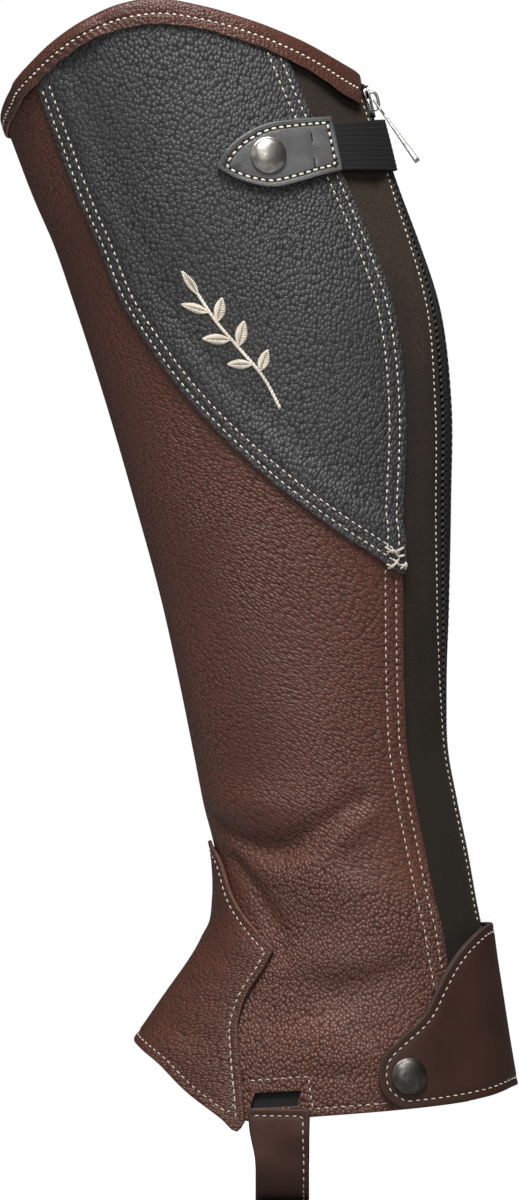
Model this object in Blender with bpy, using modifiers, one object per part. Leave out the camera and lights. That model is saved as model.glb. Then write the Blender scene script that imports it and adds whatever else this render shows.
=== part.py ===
"""A half chap for a left lower leg, filled out as it is worn.

Blender 4.5, metres, +Z up. The outer side faces -Y, the shin -X and the zip +X. The origin is
the middle of the calf. Every leather and cloth piece is a flat pattern, drawn as turn round the
leg and height, and laid on one leg form. The tables are in millimetres and degrees.
"""

import math

import bmesh
import bpy
import numpy as np
from mathutils import Matrix, Vector
from mathutils.geometry import delaunay_2d_cdt

MM = 0.001

# ---------------------------------------------------------------- walls and laps

GAP = 0.3
WIDE_GAP = 0.5
LEATHER = 1.6
YOKE_LEATHER = 1.4
STRETCH_CLOTH = 1.2
ZIP_TAPE = 1.0
ZIP_CHAIN = 1.7
BINDING = 1.2
FLAP_LEATHER = 2.4
TAB_LEATHER = 2.6
WEBBING = 1.4
STRAP_LEATHER = 2.2

SEAM_LAP = 10.0
LAP_EASE_START = 12.0
LAP_EASE_END = 19.0
GUSSET_LAP = 9.0
ZIP_EDGE = 4.0
SLIDER_ROOM = 1.3
SLIDER_ROOM_FROM = 58.0
TAPE_HALF = 11.5
TAPE_EASE_START = 12.5
TAPE_EASE_END = 20.0
CHAIN_HALF = 2.9

# ---------------------------------------------------------------- the leg form

# Level sections of the face that the leather's inner side lies on. Turn 0 is the back (+X),
# 90 the outer side (-Y), 180 the shin (-X) and 270 the inner side (+Y).
SECTIONS = (
    # height, front, back, half_width, egg
    (-346, -73.0, 103.8, 44.2, 0.27),
    (-330, -62.6, 101.6, 43.7, 0.25),
    (-316, -53.6, 99.6, 43.2, 0.24),
    (-300, -42.6, 97.2, 42.4, 0.22),
    (-284, -31.6, 95.0, 41.4, 0.20),
    (-268, -20.4, 92.8, 40.2, 0.17),
    (-256, -13.4, 91.3, 39.4, 0.15),
    (-244, -11.6, 89.0, 38.8, 0.14),
    (-226, -12.2, 85.8, 38.3, 0.13),
    (-204, -17.2, 81.3, 38.6, 0.12),
    (-184, -21.2, 77.7, 39.6, 0.11),
    (-164, -25.2, 77.1, 41.0, 0.10),
    (-124, -34.0, 78.0, 44.2, 0.10),
    (-84, -44.8, 78.9, 47.8, 0.10),
    (-44, -56.4, 79.0, 51.4, 0.10),
    (-4, -69.2, 73.6, 54.8, 0.09),
    (20, -77.6, 65.6, 56.0, 0.08),
    (36, -84.6, 59.6, 56.5, 0.08),
    (60, -93.8, 51.2, 57.0, 0.07),
    (92, -106.0, 39.2, 57.2, 0.06),
    (130, -121.2, 24.4, 57.0, 0.06),
)
FRONT, BACK, HALF_WIDTH, EGG = range(1, 5)

# Soft folds of the worn leather, as low swells and hollows on the form.
FOLDS = (
    # turn, height, half_turn, half_height, lift
    (130, -206, 28, 9, 1.7),
    (122, -224, 28, 8, -2.4),
    (102, -239, 26, 10, 1.7),
    (230, -206, 28, 9, 1.4),
    (238, -225, 26, 9, -1.9),
    (86, -286, 20, 11, -1.5),
    (92, -305, 20, 8, 1.3),
    (284, -284, 20, 13, -1.1),
    (146, -120, 24, 30, -0.8),
)


def read(table, key, column):
    """Reads one column of a table at any key, as a smooth curve through its rows."""
    rows = np.array(table, float)
    keys = rows[:, 0]
    values = rows[:, column]
    slopes = np.gradient(values, keys)
    key = np.clip(key, keys[0], keys[-1])
    row = np.clip(np.searchsorted(keys, key, side="right") - 1, 0, len(keys) - 2)
    span = keys[row + 1] - keys[row]
    t = (key - keys[row]) / span
    return (
        (2 * t**3 - 3 * t**2 + 1) * values[row]
        + (t**3 - 2 * t**2 + t) * span * slopes[row]
        + (3 * t**2 - 2 * t**3) * values[row + 1]
        + (t**3 - t**2) * span * slopes[row + 1]
    )


def rise(value, low, high):
    """0 below low, 1 above high and smooth between."""
    t = np.clip((value - low) / (high - low), 0, 1)
    return t * t * (3 - 2 * t)


def skin(turn, height):
    """The smooth leg form, without folds, as points in millimetres."""
    front = read(SECTIONS, height, FRONT)
    back = read(SECTIONS, height, BACK)
    half_width = read(SECTIONS, height, HALF_WIDTH)
    egg = read(SECTIONS, height, EGG)
    angle = np.radians(turn)
    x = (front + back) / 2 + (back - front) / 2 * np.cos(angle)
    y = -half_width * np.sin(angle) * (1 + egg * np.cos(angle))
    return np.stack([x, y, height + 0 * x], axis=-1)


def swell(turn, height):
    """How far the folds lift the form."""
    total = 0 * turn
    for fold_turn, fold_height, half_turn, half_height, lift in FOLDS:
        around = (turn - fold_turn + 180) % 360 - 180
        total = total + lift * np.exp(
            -((around / half_turn) ** 2) - ((height - fold_height) / half_height) ** 2
        )
    return total


def form(turn, height, offset=0.0):
    """Points that lie offset millimetres outside the leg form."""
    turn, height, offset = np.broadcast_arrays(
        np.asarray(turn, float), np.asarray(height, float), np.asarray(offset, float)
    )
    step = 0.05
    around = skin(turn + step, height) - skin(turn - step, height)
    upward = skin(turn, height + step) - skin(turn, height - step)
    normal = np.cross(upward, around)
    normal /= np.linalg.norm(normal, axis=-1, keepdims=True)
    return skin(turn, height) + normal * (offset + swell(turn, height))[..., None]


def stretch(turn, height):
    """Millimetres on the form for one degree of turn and for one millimetre of height."""
    around = skin(turn + 0.5, height) - skin(turn - 0.5, height)
    upward = skin(turn, height + 0.5) - skin(turn, height - 0.5)
    return np.stack(
        [np.linalg.norm(around, axis=-1), np.linalg.norm(upward, axis=-1)], axis=-1
    )


# ---------------------------------------------------------------- pattern lines

EDGE_STEP = 8.0
FINE_STEP = 5.0
# Millimetres for one degree of turn on the flat patterns, as near the leg's own girth.
DEGREE = 0.9


def through(points, step=EDGE_STEP):
    """A smooth line through pattern points, with a point about every step millimetres."""
    points = np.array(points, float)
    spans = np.linalg.norm(np.diff(points * (DEGREE, 1), axis=0), axis=1)
    along = np.concatenate([[0], np.cumsum(spans)])
    where = np.linspace(0, along[-1], max(2, round(along[-1] / step) + 1))
    table = np.column_stack([along, points])
    return np.column_stack([read(table, where, 1), read(table, where, 2)])


def beside(path, distance):
    """The line moved on the form to the left of its own direction."""
    scale = stretch(path[:, 0], path[:, 1])
    heading = np.gradient(path, axis=0) * scale
    heading /= np.linalg.norm(heading, axis=1, keepdims=True)
    left = np.column_stack([-heading[:, 1], heading[:, 0]])
    return path + distance * left / scale


def away(turn, height, path):
    """The distance of each spot from a line, in millimetres on the form."""
    scale = stretch(turn, height)
    spots = np.column_stack([turn, height])
    nearest = np.full(len(spots), np.inf)
    for start, end in zip(path[:-1], path[1:]):
        chord = (end - start) * scale
        reach = (spots - start) * scale
        t = np.clip((reach * chord).sum(1) / (chord**2).sum(1), 0, 1)
        nearest = np.minimum(nearest, np.linalg.norm(reach - t[:, None] * chord, axis=1))
    return nearest


def between(path, low, high):
    """The stretch of a line whose heights lie between two heights."""
    return path[(path[:, 1] > low) & (path[:, 1] < high)]


# The very top of the binding, round the whole leg.
TOP_EDGE = (
    # turn, height
    (0, 84.4),
    (25, 91.1),
    (41, 98.7),
    (57, 106.1),
    (73, 112.2),
    (86, 115.0),
    (98, 112.8),
    (112, 106.3),
    (125, 98.5),
    (137, 90.6),
    (149, 83.3),
    (162, 76.2),
    (176, 70.8),
    (192, 69.5),
    (215, 74.0),
    (240, 81.0),
    (265, 86.0),
    (290, 87.0),
    (320, 85.0),
    (345, 82.8),
    (360, 82.2),
)

# The hem, the same on the inner side.
HEM = (
    # turn from the back, height
    (0, -319.0),
    (30, -323.2),
    (60, -326.8),
    (90, -330.1),
    (103, -331.6),
    (110, -330.0),
    (117, -326.4),
)

# The middle of the zip.
ZIP_LINE = (
    # height, turn
    (-330, 0.0),
    (-200, 0.0),
    (-184, 0.6),
    (-160, 5.5),
    (-130, 11.5),
    (-100, 15.0),
    (-60, 16.0),
    (-30, 15.0),
    (0, 12.0),
    (30, 8.5),
    (60, 5.0),
    (90, 4.0),
    (130, 4.0),
)

# The leather's edge along the gusset.
GUSSET_EDGE = (
    # turn, height
    (49.5, 112.0),
    (49.0, 90.0),
    (47.8, 68.0),
    (43.8, 45.7),
    (42.0, 20.0),
    (41.4, -5.0),
    (41.8, -30.0),
    (43.2, -60.0),
    (45.6, -91.0),
    (46.8, -125.0),
    (46.8, -160.0),
    (47.0, -190.0),
    (48.0, -215.0),
    (47.4, -238.0),
    (44.4, -258.0),
    (40.2, -278.0),
    (36.6, -306.0),
    (34.6, -330.0),
)

# The yoke's curved seam, from the top edge to its point at the gusset.
YOKE_SEAM = (
    # turn, height
    (137.6, 104.0),
    (138.0, 80.0),
    (138.4, 50.0),
    (138.2, 20.0),
    (136.6, -5.0),
    (130.6, -22.5),
    (118.7, -47.0),
    (100.8, -71.5),
    (76.0, -95.5),
    (46.0, -115.5),
)

# One half of the instep piece's sewn edge, from the shin to its bottom corner.
INSTEP_EDGE_UPPER = (
    # turn, height
    (180, -219.5),
    (163, -226.5),
    (151, -241.0),
    (134, -254.5),
    (119, -263.5),
)
INSTEP_EDGE_LOWER = (
    (119, -263.5),
    (119.5, -271.0),
    (121.2, -281.0),
    (119.6, -292.0),
    (114.0, -305.0),
    (108.4, -319.0),
    (104.2, -332.0),
)
INSTEP_BOTTOM = (
    (104.2, -332.0),
    (105.2, -335.8),
    (111.6, -330.6),
    (124.0, -321.9),
    (144.0, -309.7),
    (160.0, -304.6),
    (180, -301.0),
)

TAB_UPPER = (
    # turn, height
    (42.4, 67.4),
    (58.0, 66.2),
    (67.0, 64.8),
    (75.0, 60.8),
    (82.0, 54.8),
    (87.0, 48.0),
)
TAB_LOWER = (
    (87.0, 48.0),
    (83.6, 44.4),
    (78.0, 41.2),
    (72.0, 39.8),
    (64.0, 41.4),
    (54.5, 44.2),
    (45.6, 46.2),
)
BAND_TOP = 66.4
BAND_BOTTOM = 46.8
BAND_UPPER = (
    # turn, height
    (41.9, 65.2),
    (20.0, 65.9),
    (0.0, BAND_TOP),
    (-50.0, BAND_TOP),
)
BAND_LOWER = (
    (-50.0, BAND_BOTTOM),
    (0.0, BAND_BOTTOM),
    (20.0, 46.6),
    (45.1, 46.4),
)

FLAP_TOP = (
    # turn, height
    (-44.0, -255.0),
    (-20.0, -254.0),
    (4.0, -254.4),
    (21.0, -256.0),
    (33.0, -261.0),
    (42.0, -268.5),
    (48.5, -278.0),
    (55.0, -290.0),
    (63.0, -298.6),
    (68.4, -306.0),
    (69.0, -314.0),
    (66.4, -321.6),
    (60.5, -326.7),
)
FLAP_BOTTOM = (
    (60.5, -326.7),
    (46.0, -325.0),
    (30.0, -322.5),
    (12.0, -319.2),
    (-6.0, -319.0),
    (-26.0, -322.2),
    (-44.0, -324.6),
)

# The foot strap's slot in the hem, and the strap's own width there.
SLOT_TURNS = (91.2, 104.4)
SLOT_HEIGHTS = (-325.4, -319.4)
ELASTIC_TURNS = (89.2, 105.4)
ELASTIC_HEIGHTS = (-330.4, -313.4)
STRAP_TOP_HEIGHTS = (-326.6, -331.5, -337.0)
STRAP_HEM_X = (0.0, 24.2)
STRAP_SOLE_X = (2.2, 23.6)
STRAP_TAPER = (329.0, 351.0)
STRAP_SOLE_Z = -361.3
STRAP_BEND = 16.0
STRAP_HALF_SPAN = 44.0
STRAP_SOLE_ROW = 14.0

CALF_SNAP = (70.0, 52.4)
ANKLE_SNAP = (59.4, -313.6)


# ---------------------------------------------------------------- patterns to meshes

# The grid that every piece shares, so that one lies flat on another.
GRID_TURN = 9.0
ROWS = np.concatenate([np.arange(-344, -196, 8.0), np.arange(-194, 124, 12.5)])
KEEP_OFF = 3.4


def inside(spots, loops):
    """Which spots lie within the loops, counting a loop within another as a hole."""
    odd = np.zeros(len(spots), bool)
    for loop in loops:
        for start, end in zip(loop, np.roll(loop, -1, axis=0)):
            spans = (start[1] > spots[:, 1]) != (end[1] > spots[:, 1])
            climb = end[1] - start[1]
            if climb == 0:
                continue
            crossing = start[0] + (spots[:, 1] - start[1]) * (end[0] - start[0]) / climb
            odd ^= spans & (spots[:, 0] < crossing)
    return odd


def grid_spots(loops):
    """The shared grid's points within the loops, clear of their edges."""
    everything = np.concatenate(loops)
    first = math.floor(everything[:, 0].min() / GRID_TURN) - 1
    last = math.ceil(everything[:, 0].max() / GRID_TURN) + 1
    spots = []
    for row, height in enumerate(ROWS):
        shift = 0.5 * (row % 2)
        spots += [((column + shift) * GRID_TURN, height) for column in range(first, last)]
    return np.array(spots)


def fill(loops, guides):
    """Triangles between closed pattern lines: their spots, and faces that look outwards."""
    inner = np.concatenate([grid_spots(loops), *guides])
    inner = inner[inside(inner, loops)]
    for loop in loops:
        closed = np.concatenate([loop, loop[:1]])
        inner = inner[away(inner[:, 0], inner[:, 1], closed) > KEEP_OFF]
    spots = np.concatenate([*loops, inner])
    edges = []
    first = 0
    for loop in loops:
        ring = range(first, first + len(loop))
        edges += [(index, first + (index - first + 1) % len(loop)) for index in ring]
        first += len(loop)
    flat = [Vector((turn * DEGREE, height)) for turn, height in spots]
    flat, _, faces, *_ = delaunay_2d_cdt(flat, edges, [], 0, 1e-4)
    spots = np.array([(spot.x / DEGREE, spot.y) for spot in flat])
    faces = np.array(faces)
    faces = faces[inside(spots[faces].mean(axis=1), loops)]
    side_a = spots[faces[:, 1]] - spots[faces[:, 0]]
    side_b = spots[faces[:, 2]] - spots[faces[:, 0]]
    leftward = side_a[:, 0] * side_b[:, 1] - side_a[:, 1] * side_b[:, 0] > 0
    faces[leftward] = faces[leftward][:, ::-1]
    return spots, faces


def new_object(name, mesh, material):
    piece = bpy.data.objects.new(name, mesh)
    piece.data.materials.append(material)
    bpy.data.collections["half_chap"].objects.link(piece)
    return piece


def surface(name, points, faces, material):
    """An open surface from points in millimetres."""
    mesh = bpy.data.meshes.new(name)
    mesh.from_pydata((np.array(points) * MM).tolist(), [], np.array(faces).tolist())
    mesh.shade_smooth()
    return new_object(name, mesh, material)


def thicken(piece, wall, side=1):
    solid = piece.modifiers.new("wall", "SOLIDIFY")
    solid.thickness = wall * MM
    solid.offset = side
    return piece


def cloth(name, loops, layer, wall, material, guides=()):
    """A piece cut to its pattern lines and laid on the form, its inner face at layer."""
    spots, faces = fill(loops, guides)
    turn, height = spots.T
    points = form(turn, height, layer(turn, height))
    return thicken(surface(name, points, faces, material), wall)


def sheet(name, rows, wall, material, side):
    """A swept piece from rows of points, all of one length."""
    rows = np.array(rows)
    count, across = rows.shape[:2]
    faces = []
    for row in range(count - 1):
        for column in range(across - 1):
            start = row * across + column
            faces.append((start, start + across, start + across + 1, start + 1))
    return thicken(surface(name, rows.reshape(-1, 3), faces, material), wall, side)


def level(offset):
    return lambda turn, height: offset + 0 * turn


# ---------------------------------------------------------------- lines worked out

def top_line(drop, first, last, step=EDGE_STEP):
    """A line that runs drop millimetres below the top edge, from turn first to turn last."""
    turns = np.linspace(first, last, round(abs(last - first) * DEGREE / step) + 1)
    path = np.column_stack([turns, read(TOP_EDGE, turns % 360.0001, 1)])
    rightward = 1 if last > first else -1
    return beside(path, -drop * rightward)


def hem_height(turns):
    return read(HEM, np.abs((turns + 180) % 360 - 180), 1)


def hem_line(first, last):
    turns = np.linspace(first, last, max(2, round(abs(last - first) * DEGREE / EDGE_STEP) + 1))
    return np.column_stack([turns, hem_height(turns)])


def turn_on(line, heights):
    """The turn of a falling line at each height."""
    return np.interp(heights, line[::-1, 1], line[::-1, 0])


def zip_line(low, high, whole_turn=0):
    heights = np.linspace(low, high, max(2, round((high - low) / EDGE_STEP) + 1))
    return np.column_stack([read(ZIP_LINE, heights, 1) + whole_turn, heights])


def zip_side(low, high, side, whole_turn=0):
    """The edge beside the zip, on one side. The two edges part a little round the slider."""
    middle = zip_line(low, high, whole_turn)
    parted = SLIDER_ROOM * rise(middle[:, 1:], SLIDER_ROOM_FROM, SLIDER_ROOM_FROM + EDGE_STEP)
    return beside(middle, side * (ZIP_EDGE + parted))


def mirrored(path):
    """The same line on the other side of the shin, in reverse order."""
    return np.column_stack([360 - path[:, 0], path[:, 1]])[::-1]


def cut_at(path, line):
    """The part of a line that lies below another one, whose turns increase."""
    limit = np.interp(path[:, 0], line[:, 0], line[:, 1])
    return path[path[:, 1] < limit]


def instep_outline():
    """The instep piece's sewn edge and bottom, both halves, as one loop."""
    half = np.concatenate(
        [
            through(INSTEP_EDGE_UPPER)[:-1],
            through(INSTEP_EDGE_LOWER)[:-1],
            through(INSTEP_BOTTOM, FINE_STEP),
        ]
    )
    return np.concatenate([half, mirrored(half)[1:-1]])


NOTCH_SHIN_TURN = 175.0


def instep_sewn_edge(inward):
    """The sewn edge alone, from hem to hem over the shin, moved inwards."""
    upper = through(INSTEP_EDGE_UPPER)
    lower = through(INSTEP_EDGE_LOWER)
    rising = beside(np.concatenate([lower[::-1][:-1], upper[::-1]]), -inward)
    rising = rising[rising[:, 0] < NOTCH_SHIN_TURN]
    return np.concatenate([rising, mirrored(rising)])


# ---------------------------------------------------------------- materials

MATERIALS = {
    # name: (red, green, blue), roughness, metallic
    "brown_pebbled_leather": ((0.105, 0.030, 0.020), 0.45, 0.0),
    "brown_smooth_leather": ((0.085, 0.032, 0.020), 0.50, 0.0),
    "black_pebbled_leather": ((0.016, 0.017, 0.019), 0.42, 0.0),
    "black_smooth_leather": ((0.022, 0.021, 0.021), 0.45, 0.0),
    "gusset_cloth": ((0.040, 0.034, 0.026), 0.80, 0.0),
    "black_webbing": ((0.012, 0.013, 0.015), 0.80, 0.0),
    "zip_black": ((0.010, 0.010, 0.011), 0.55, 0.0),
    "bright_metal": ((0.70, 0.69, 0.66), 0.22, 1.0),
    "dull_metal": ((0.30, 0.29, 0.26), 0.32, 1.0),
}


def make_materials():
    made = {}
    for name, (colour, roughness, metallic) in MATERIALS.items():
        material = bpy.data.materials.new(name)
        material.use_nodes = True
        shader = material.node_tree.nodes["Principled BSDF"]
        shader.inputs["Base Color"].default_value = (*colour, 1)
        shader.inputs["Roughness"].default_value = roughness
        shader.inputs["Metallic"].default_value = metallic
        made[name] = material
    return made


# ---------------------------------------------------------------- leather and cloth

# Heights between which the zip's lines are worked out, before a piece cuts them shorter.
ZIP_REACH = (-330.0, 100.0)
# How far a line stops short of the one it meets at a corner.
CORNER = 3.0

PANEL_TOP_DROP = 3.2
PANEL_HEM_TURN = 35.0
PANEL_TOP_TURN = 359.0
PANEL_ZIP_ENDS = (-315.0, 78.0)
PANEL_GUSSET_FOOT = -322.0
NOTCH_HEM_ROOM = 2.0
SEAM_END_TURN = 4.0
SLOT_SLANT = 1.0


def main_panel(material):
    """From the gusset's edge round the shin to the zip, notched under the instep piece."""
    seam = beside(through(YOKE_SEAM), -SEAM_LAP)
    gusset_edge = through(GUSSET_EDGE)
    notch = instep_sewn_edge(SEAM_LAP)
    notch = notch[notch[:, 1] > hem_height(notch[:, 0]) + NOTCH_HEM_ROOM]
    seam = seam[seam[:, 0] > turn_on(gusset_edge, seam[:, 1]) + SEAM_END_TURN]
    top = top_line(PANEL_TOP_DROP, PANEL_TOP_TURN, seam[0, 0] + 1)
    seam = cut_at(seam, top[::-1] - (0, CORNER))
    lower_edge = between(gusset_edge, PANEL_GUSSET_FOOT, seam[-1, 1] - CORNER)
    zip_edge = between(zip_side(*ZIP_REACH, 1, 360), *PANEL_ZIP_ENDS)
    outline = np.concatenate(
        [
            hem_line(PANEL_HEM_TURN, notch[0, 0]),
            notch,
            hem_line(notch[-1, 0], zip_edge[0, 0]),
            zip_edge,
            top,
            seam,
            lower_edge,
        ]
    )
    slot = np.array(
        [
            (SLOT_TURNS[0], SLOT_HEIGHTS[0]),
            (SLOT_TURNS[1], SLOT_HEIGHTS[0] - SLOT_SLANT),
            (SLOT_TURNS[1], SLOT_HEIGHTS[1] - SLOT_SLANT),
            (SLOT_TURNS[0], SLOT_HEIGHTS[1]),
        ]
    )
    return cloth("main_panel", [outline, slot], level(0), LEATHER, material)


YOKE_POINT_TURN = 2.0
YOKE_POINT_DROP = 1.0
YOKE_GUIDES = (4.0, 8.0, LAP_EASE_START, LAP_EASE_END)
YOKE_GUIDE_STEP = 6.0


def yoke(material):
    """Laps over the main panel along its seam, then eases down to the form."""
    whole_seam = through(YOKE_SEAM)
    gusset_edge = through(GUSSET_EDGE)[::-1]
    seam = whole_seam[
        whole_seam[:, 0] > turn_on(gusset_edge[::-1], whole_seam[:, 1]) + YOKE_POINT_TURN
    ]
    top = top_line(PANEL_TOP_DROP, gusset_edge[-1, 0], seam[0, 0], EDGE_STEP / 2)
    seam = cut_at(seam, top - (0, CORNER))
    back_edge = gusset_edge[gusset_edge[:, 1] > seam[-1, 1] - YOKE_POINT_DROP]
    back_edge = cut_at(back_edge, top - (0, CORNER))
    guides = [beside(through(YOKE_SEAM, YOKE_GUIDE_STEP), -line) for line in YOKE_GUIDES]

    def layer(turn, height):
        from_seam = away(turn, height, whole_seam)
        return (LEATHER + WIDE_GAP) * (1 - rise(from_seam, LAP_EASE_START, LAP_EASE_END))

    outline = np.concatenate([seam, back_edge, top])
    return cloth("yoke", [outline], layer, YOKE_LEATHER, material, guides)


STRETCH_TOP_DROP = 6.4
GUSSET_TOP_TURNS = (56.0, 11.0)
GUSSET_TOP_CORNER = 4.0
GUSSET_FRONT_FOOT = -321.0
GUSSET_BACK_FOOT = -316.0


def gusset(material):
    """Lies on the zip tape at its back edge and under the leather at its front edge."""
    zip_middle = zip_line(*ZIP_REACH)
    top = top_line(STRETCH_TOP_DROP, *GUSSET_TOP_TURNS)
    front_edge = beside(through(GUSSET_EDGE), GUSSET_LAP)[::-1]
    front_edge = between(front_edge, GUSSET_FRONT_FOOT, top[0, 1] - GUSSET_TOP_CORNER)
    back_edge = zip_side(*ZIP_REACH, -1)[::-1]
    back_edge = between(back_edge, GUSSET_BACK_FOOT, top[-1, 1] - GUSSET_TOP_CORNER)
    bottom = hem_line(back_edge[-1, 0], front_edge[0, 0])

    def layer(turn, height):
        from_zip = away(turn, height, zip_middle)
        return -(STRETCH_CLOTH + WIDE_GAP) * rise(from_zip, TAPE_EASE_START, TAPE_EASE_END)

    outline = np.concatenate([bottom, front_edge, top, back_edge])
    guides = [beside(zip_middle, -TAPE_EASE_START), beside(zip_middle, -TAPE_EASE_END)]
    return cloth("gusset", [outline], layer, STRETCH_CLOTH, material, guides)


TAPE_ENDS = (-316.0, 76.0)
CHAIN_ENDS = (-316.0, 67.0)


def zip_tape(material):
    middle = zip_line(*TAPE_ENDS)
    outline = np.concatenate([beside(middle, TAPE_HALF), beside(middle, -TAPE_HALF)[::-1]])
    return cloth("zip_tape", [outline], level(-ZIP_TAPE - WIDE_GAP), ZIP_TAPE, material)


def zip_chain(material):
    middle = zip_line(*CHAIN_ENDS)
    outline = np.concatenate([beside(middle, CHAIN_HALF), beside(middle, -CHAIN_HALF)[::-1]])
    return cloth("zip_chain", [outline], level(0), ZIP_CHAIN, material)


def instep(material):
    """Sewn over the notch in the main panel, the same on both sides of the shin."""
    return cloth(
        "instep", [instep_outline()], level(LEATHER + WIDE_GAP), LEATHER, material
    )


BINDING_MIDDLE_SHARE = 0.65
BINDING_FOLD_DEPTH = 2.6
BINDING_INNER_DEPTH = 5.2
BINDING_ENDS = (7.5, 357.5)
# The first end is cut on a slant, which turns back by some degrees down to the lower edge.
BINDING_SLANT = 9.0
BINDING_SLANT_TO = 32.0
BINDING_DEPTHS = (
    # turn, depth of the outer face
    (0, 16.6),
    (21, 16.0),
    (37, 13.2),
    (53, 11.5),
    (68, 10.9),
    (91, 10.8),
    (100, 9.6),
    (110, 8.2),
    (140, 7.8),
    (200, 8.4),
    (360, 9.8),
)
BINDING_TURN = 7.0
# Turns between which the binding rises over the yoke's lap and comes down again.
BINDING_LAP_UP = (104.0, 114.0)
BINDING_LAP_DOWN = (147.0, 155.0)


def binding_line(turns, drop):
    """The line that runs drop millimetres below the top edge on the binding."""
    at_end = 1 - rise(turns, BINDING_ENDS[0], BINDING_SLANT_TO)
    turns = turns + BINDING_SLANT * at_end * drop / read(BINDING_DEPTHS, turns, 1)
    path = np.column_stack([turns, read(TOP_EDGE, turns, 1)])
    return beside(path, -np.reshape(drop, (-1, 1)))


def top_binding(material):
    """One strip folded over the top edge, from the gusset round to the zip's other side."""
    turns = np.linspace(*BINDING_ENDS, round((BINDING_ENDS[1] - BINDING_ENDS[0]) / BINDING_TURN))
    depth = read(BINDING_DEPTHS, turns, 1)
    on_lap = rise(turns, *BINDING_LAP_UP) * (1 - rise(turns, *BINDING_LAP_DOWN))
    outer = LEATHER + GAP + BINDING + on_lap * (YOKE_LEATHER + WIDE_GAP)
    inner = -GAP - BINDING + 0 * turns
    middle = (outer + inner) / 2
    radius = (outer - inner) / 2
    rows = []
    for drop in (depth, BINDING_MIDDLE_SHARE * depth):
        edge = binding_line(turns, drop)
        rows.append(form(edge[:, 0], edge[:, 1], outer))
    for angle in np.radians((0, 45, 90, 135, 180)):
        edge = binding_line(turns, BINDING_FOLD_DEPTH * (1 - math.sin(angle)))
        rows.append(form(edge[:, 0], edge[:, 1], middle + radius * math.cos(angle)))
    edge = binding_line(turns, BINDING_INNER_DEPTH)
    rows.append(form(edge[:, 0], edge[:, 1], inner))
    return sheet("top_binding", rows, BINDING, material, -1)


# The flap stands off the leg over the zip's foot, more at its hem than at its top.
FLAP_STAND = 2.4
FLAP_STAND_UP = (-42.0, -16.0)
FLAP_STAND_DOWN = (18.0, 48.0)
FLAP_FLARE = 0.0071
FLAP_MIDDLE = -285.0


def ankle_flap(material):
    """From the inner side round the back, over the zip's foot, to its snap."""
    inner_end = through((FLAP_BOTTOM[-1], FLAP_TOP[0]))
    outline = np.concatenate([through(FLAP_TOP)[:-1], through(FLAP_BOTTOM), inner_end[1:-1]])

    def layer(turn, height):
        over_zip = rise(turn, *FLAP_STAND_UP) * (1 - rise(turn, *FLAP_STAND_DOWN))
        flare = 1 + FLAP_FLARE * (FLAP_MIDDLE - height)
        return LEATHER + GAP + FLAP_STAND * over_zip * flare

    return cloth("ankle_flap", [outline], layer, FLAP_LEATHER, material)


def calf_tab(material):
    outline = np.concatenate(
        [
            through(TAB_UPPER, FINE_STEP)[:-1],
            through(TAB_LOWER, FINE_STEP),
            through((TAB_LOWER[-1], TAB_UPPER[0]))[1:-1],
        ]
    )
    return cloth("calf_tab", [outline], level(YOKE_LEATHER + WIDE_GAP), TAB_LEATHER, material)


BAND_STAND = 2.0
BAND_STAND_TURNS = (14.0, 40.0)


def calf_elastic(material):
    """From the tab round the back to the inner side, its top edge off the leg at the back."""
    outline = np.concatenate([through(BAND_UPPER), through(BAND_LOWER)])

    def layer(turn, height):
        at_back = 1 - rise(np.abs(turn), *BAND_STAND_TURNS)
        slope = (height - BAND_BOTTOM) / (BAND_TOP - BAND_BOTTOM)
        return LEATHER + WIDE_GAP + BAND_STAND * at_back * slope

    return cloth("calf_elastic", [outline], layer, WEBBING, material)


def strap_elastic(material):
    """The elastic behind the slot."""
    (back, front), (bottom, top) = ELASTIC_TURNS, ELASTIC_HEIGHTS
    low = through(((back, bottom), (front, bottom)))
    high = through(((front, top), (back, top)))
    outline = np.concatenate([low, high])
    return cloth("strap_elastic", [outline], level(-WEBBING - GAP), WEBBING, material)


def turn_at(x, height):
    """The turn on the outer side where the leg form reaches an x."""
    front = read(SECTIONS, height, FRONT)
    back = read(SECTIONS, height, BACK)
    return np.degrees(np.arccos((x - (front + back) / 2) / ((back - front) / 2)))


def foot_strap(material):
    """From the outer hem, under the foot, to the inner hem."""
    share = np.linspace(0, 1, 5)
    hem_x = STRAP_HEM_X[0] + (STRAP_HEM_X[1] - STRAP_HEM_X[0]) * share
    sole_x = STRAP_SOLE_X[0] + (STRAP_SOLE_X[1] - STRAP_SOLE_X[0]) * share

    def across(height):
        return hem_x + (sole_x - hem_x) * rise(-height, *STRAP_TAPER)

    rows = []
    for height in STRAP_TOP_HEIGHTS:
        turns = turn_at(across(height), height)
        rows.append(form(turns, height, LEATHER + WIDE_GAP))
    bend_height = STRAP_SOLE_Z + STRAP_BEND
    for angle in np.radians(np.linspace(0, 90, 6)):
        y = -STRAP_HALF_SPAN + STRAP_BEND * (1 - math.cos(angle))
        z = bend_height - STRAP_BEND * math.sin(angle)
        rows.append(np.column_stack([across(z), 0 * sole_x + y, 0 * sole_x + z]))
    rows.append(
        np.column_stack([sole_x, 0 * sole_x - STRAP_SOLE_ROW, 0 * sole_x + STRAP_SOLE_Z])
    )
    rows += [row * (1, -1, 1) for row in rows[::-1]]
    return sheet("foot_strap", rows, STRAP_LEATHER, material, 1)


# ---------------------------------------------------------------- metal

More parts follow.
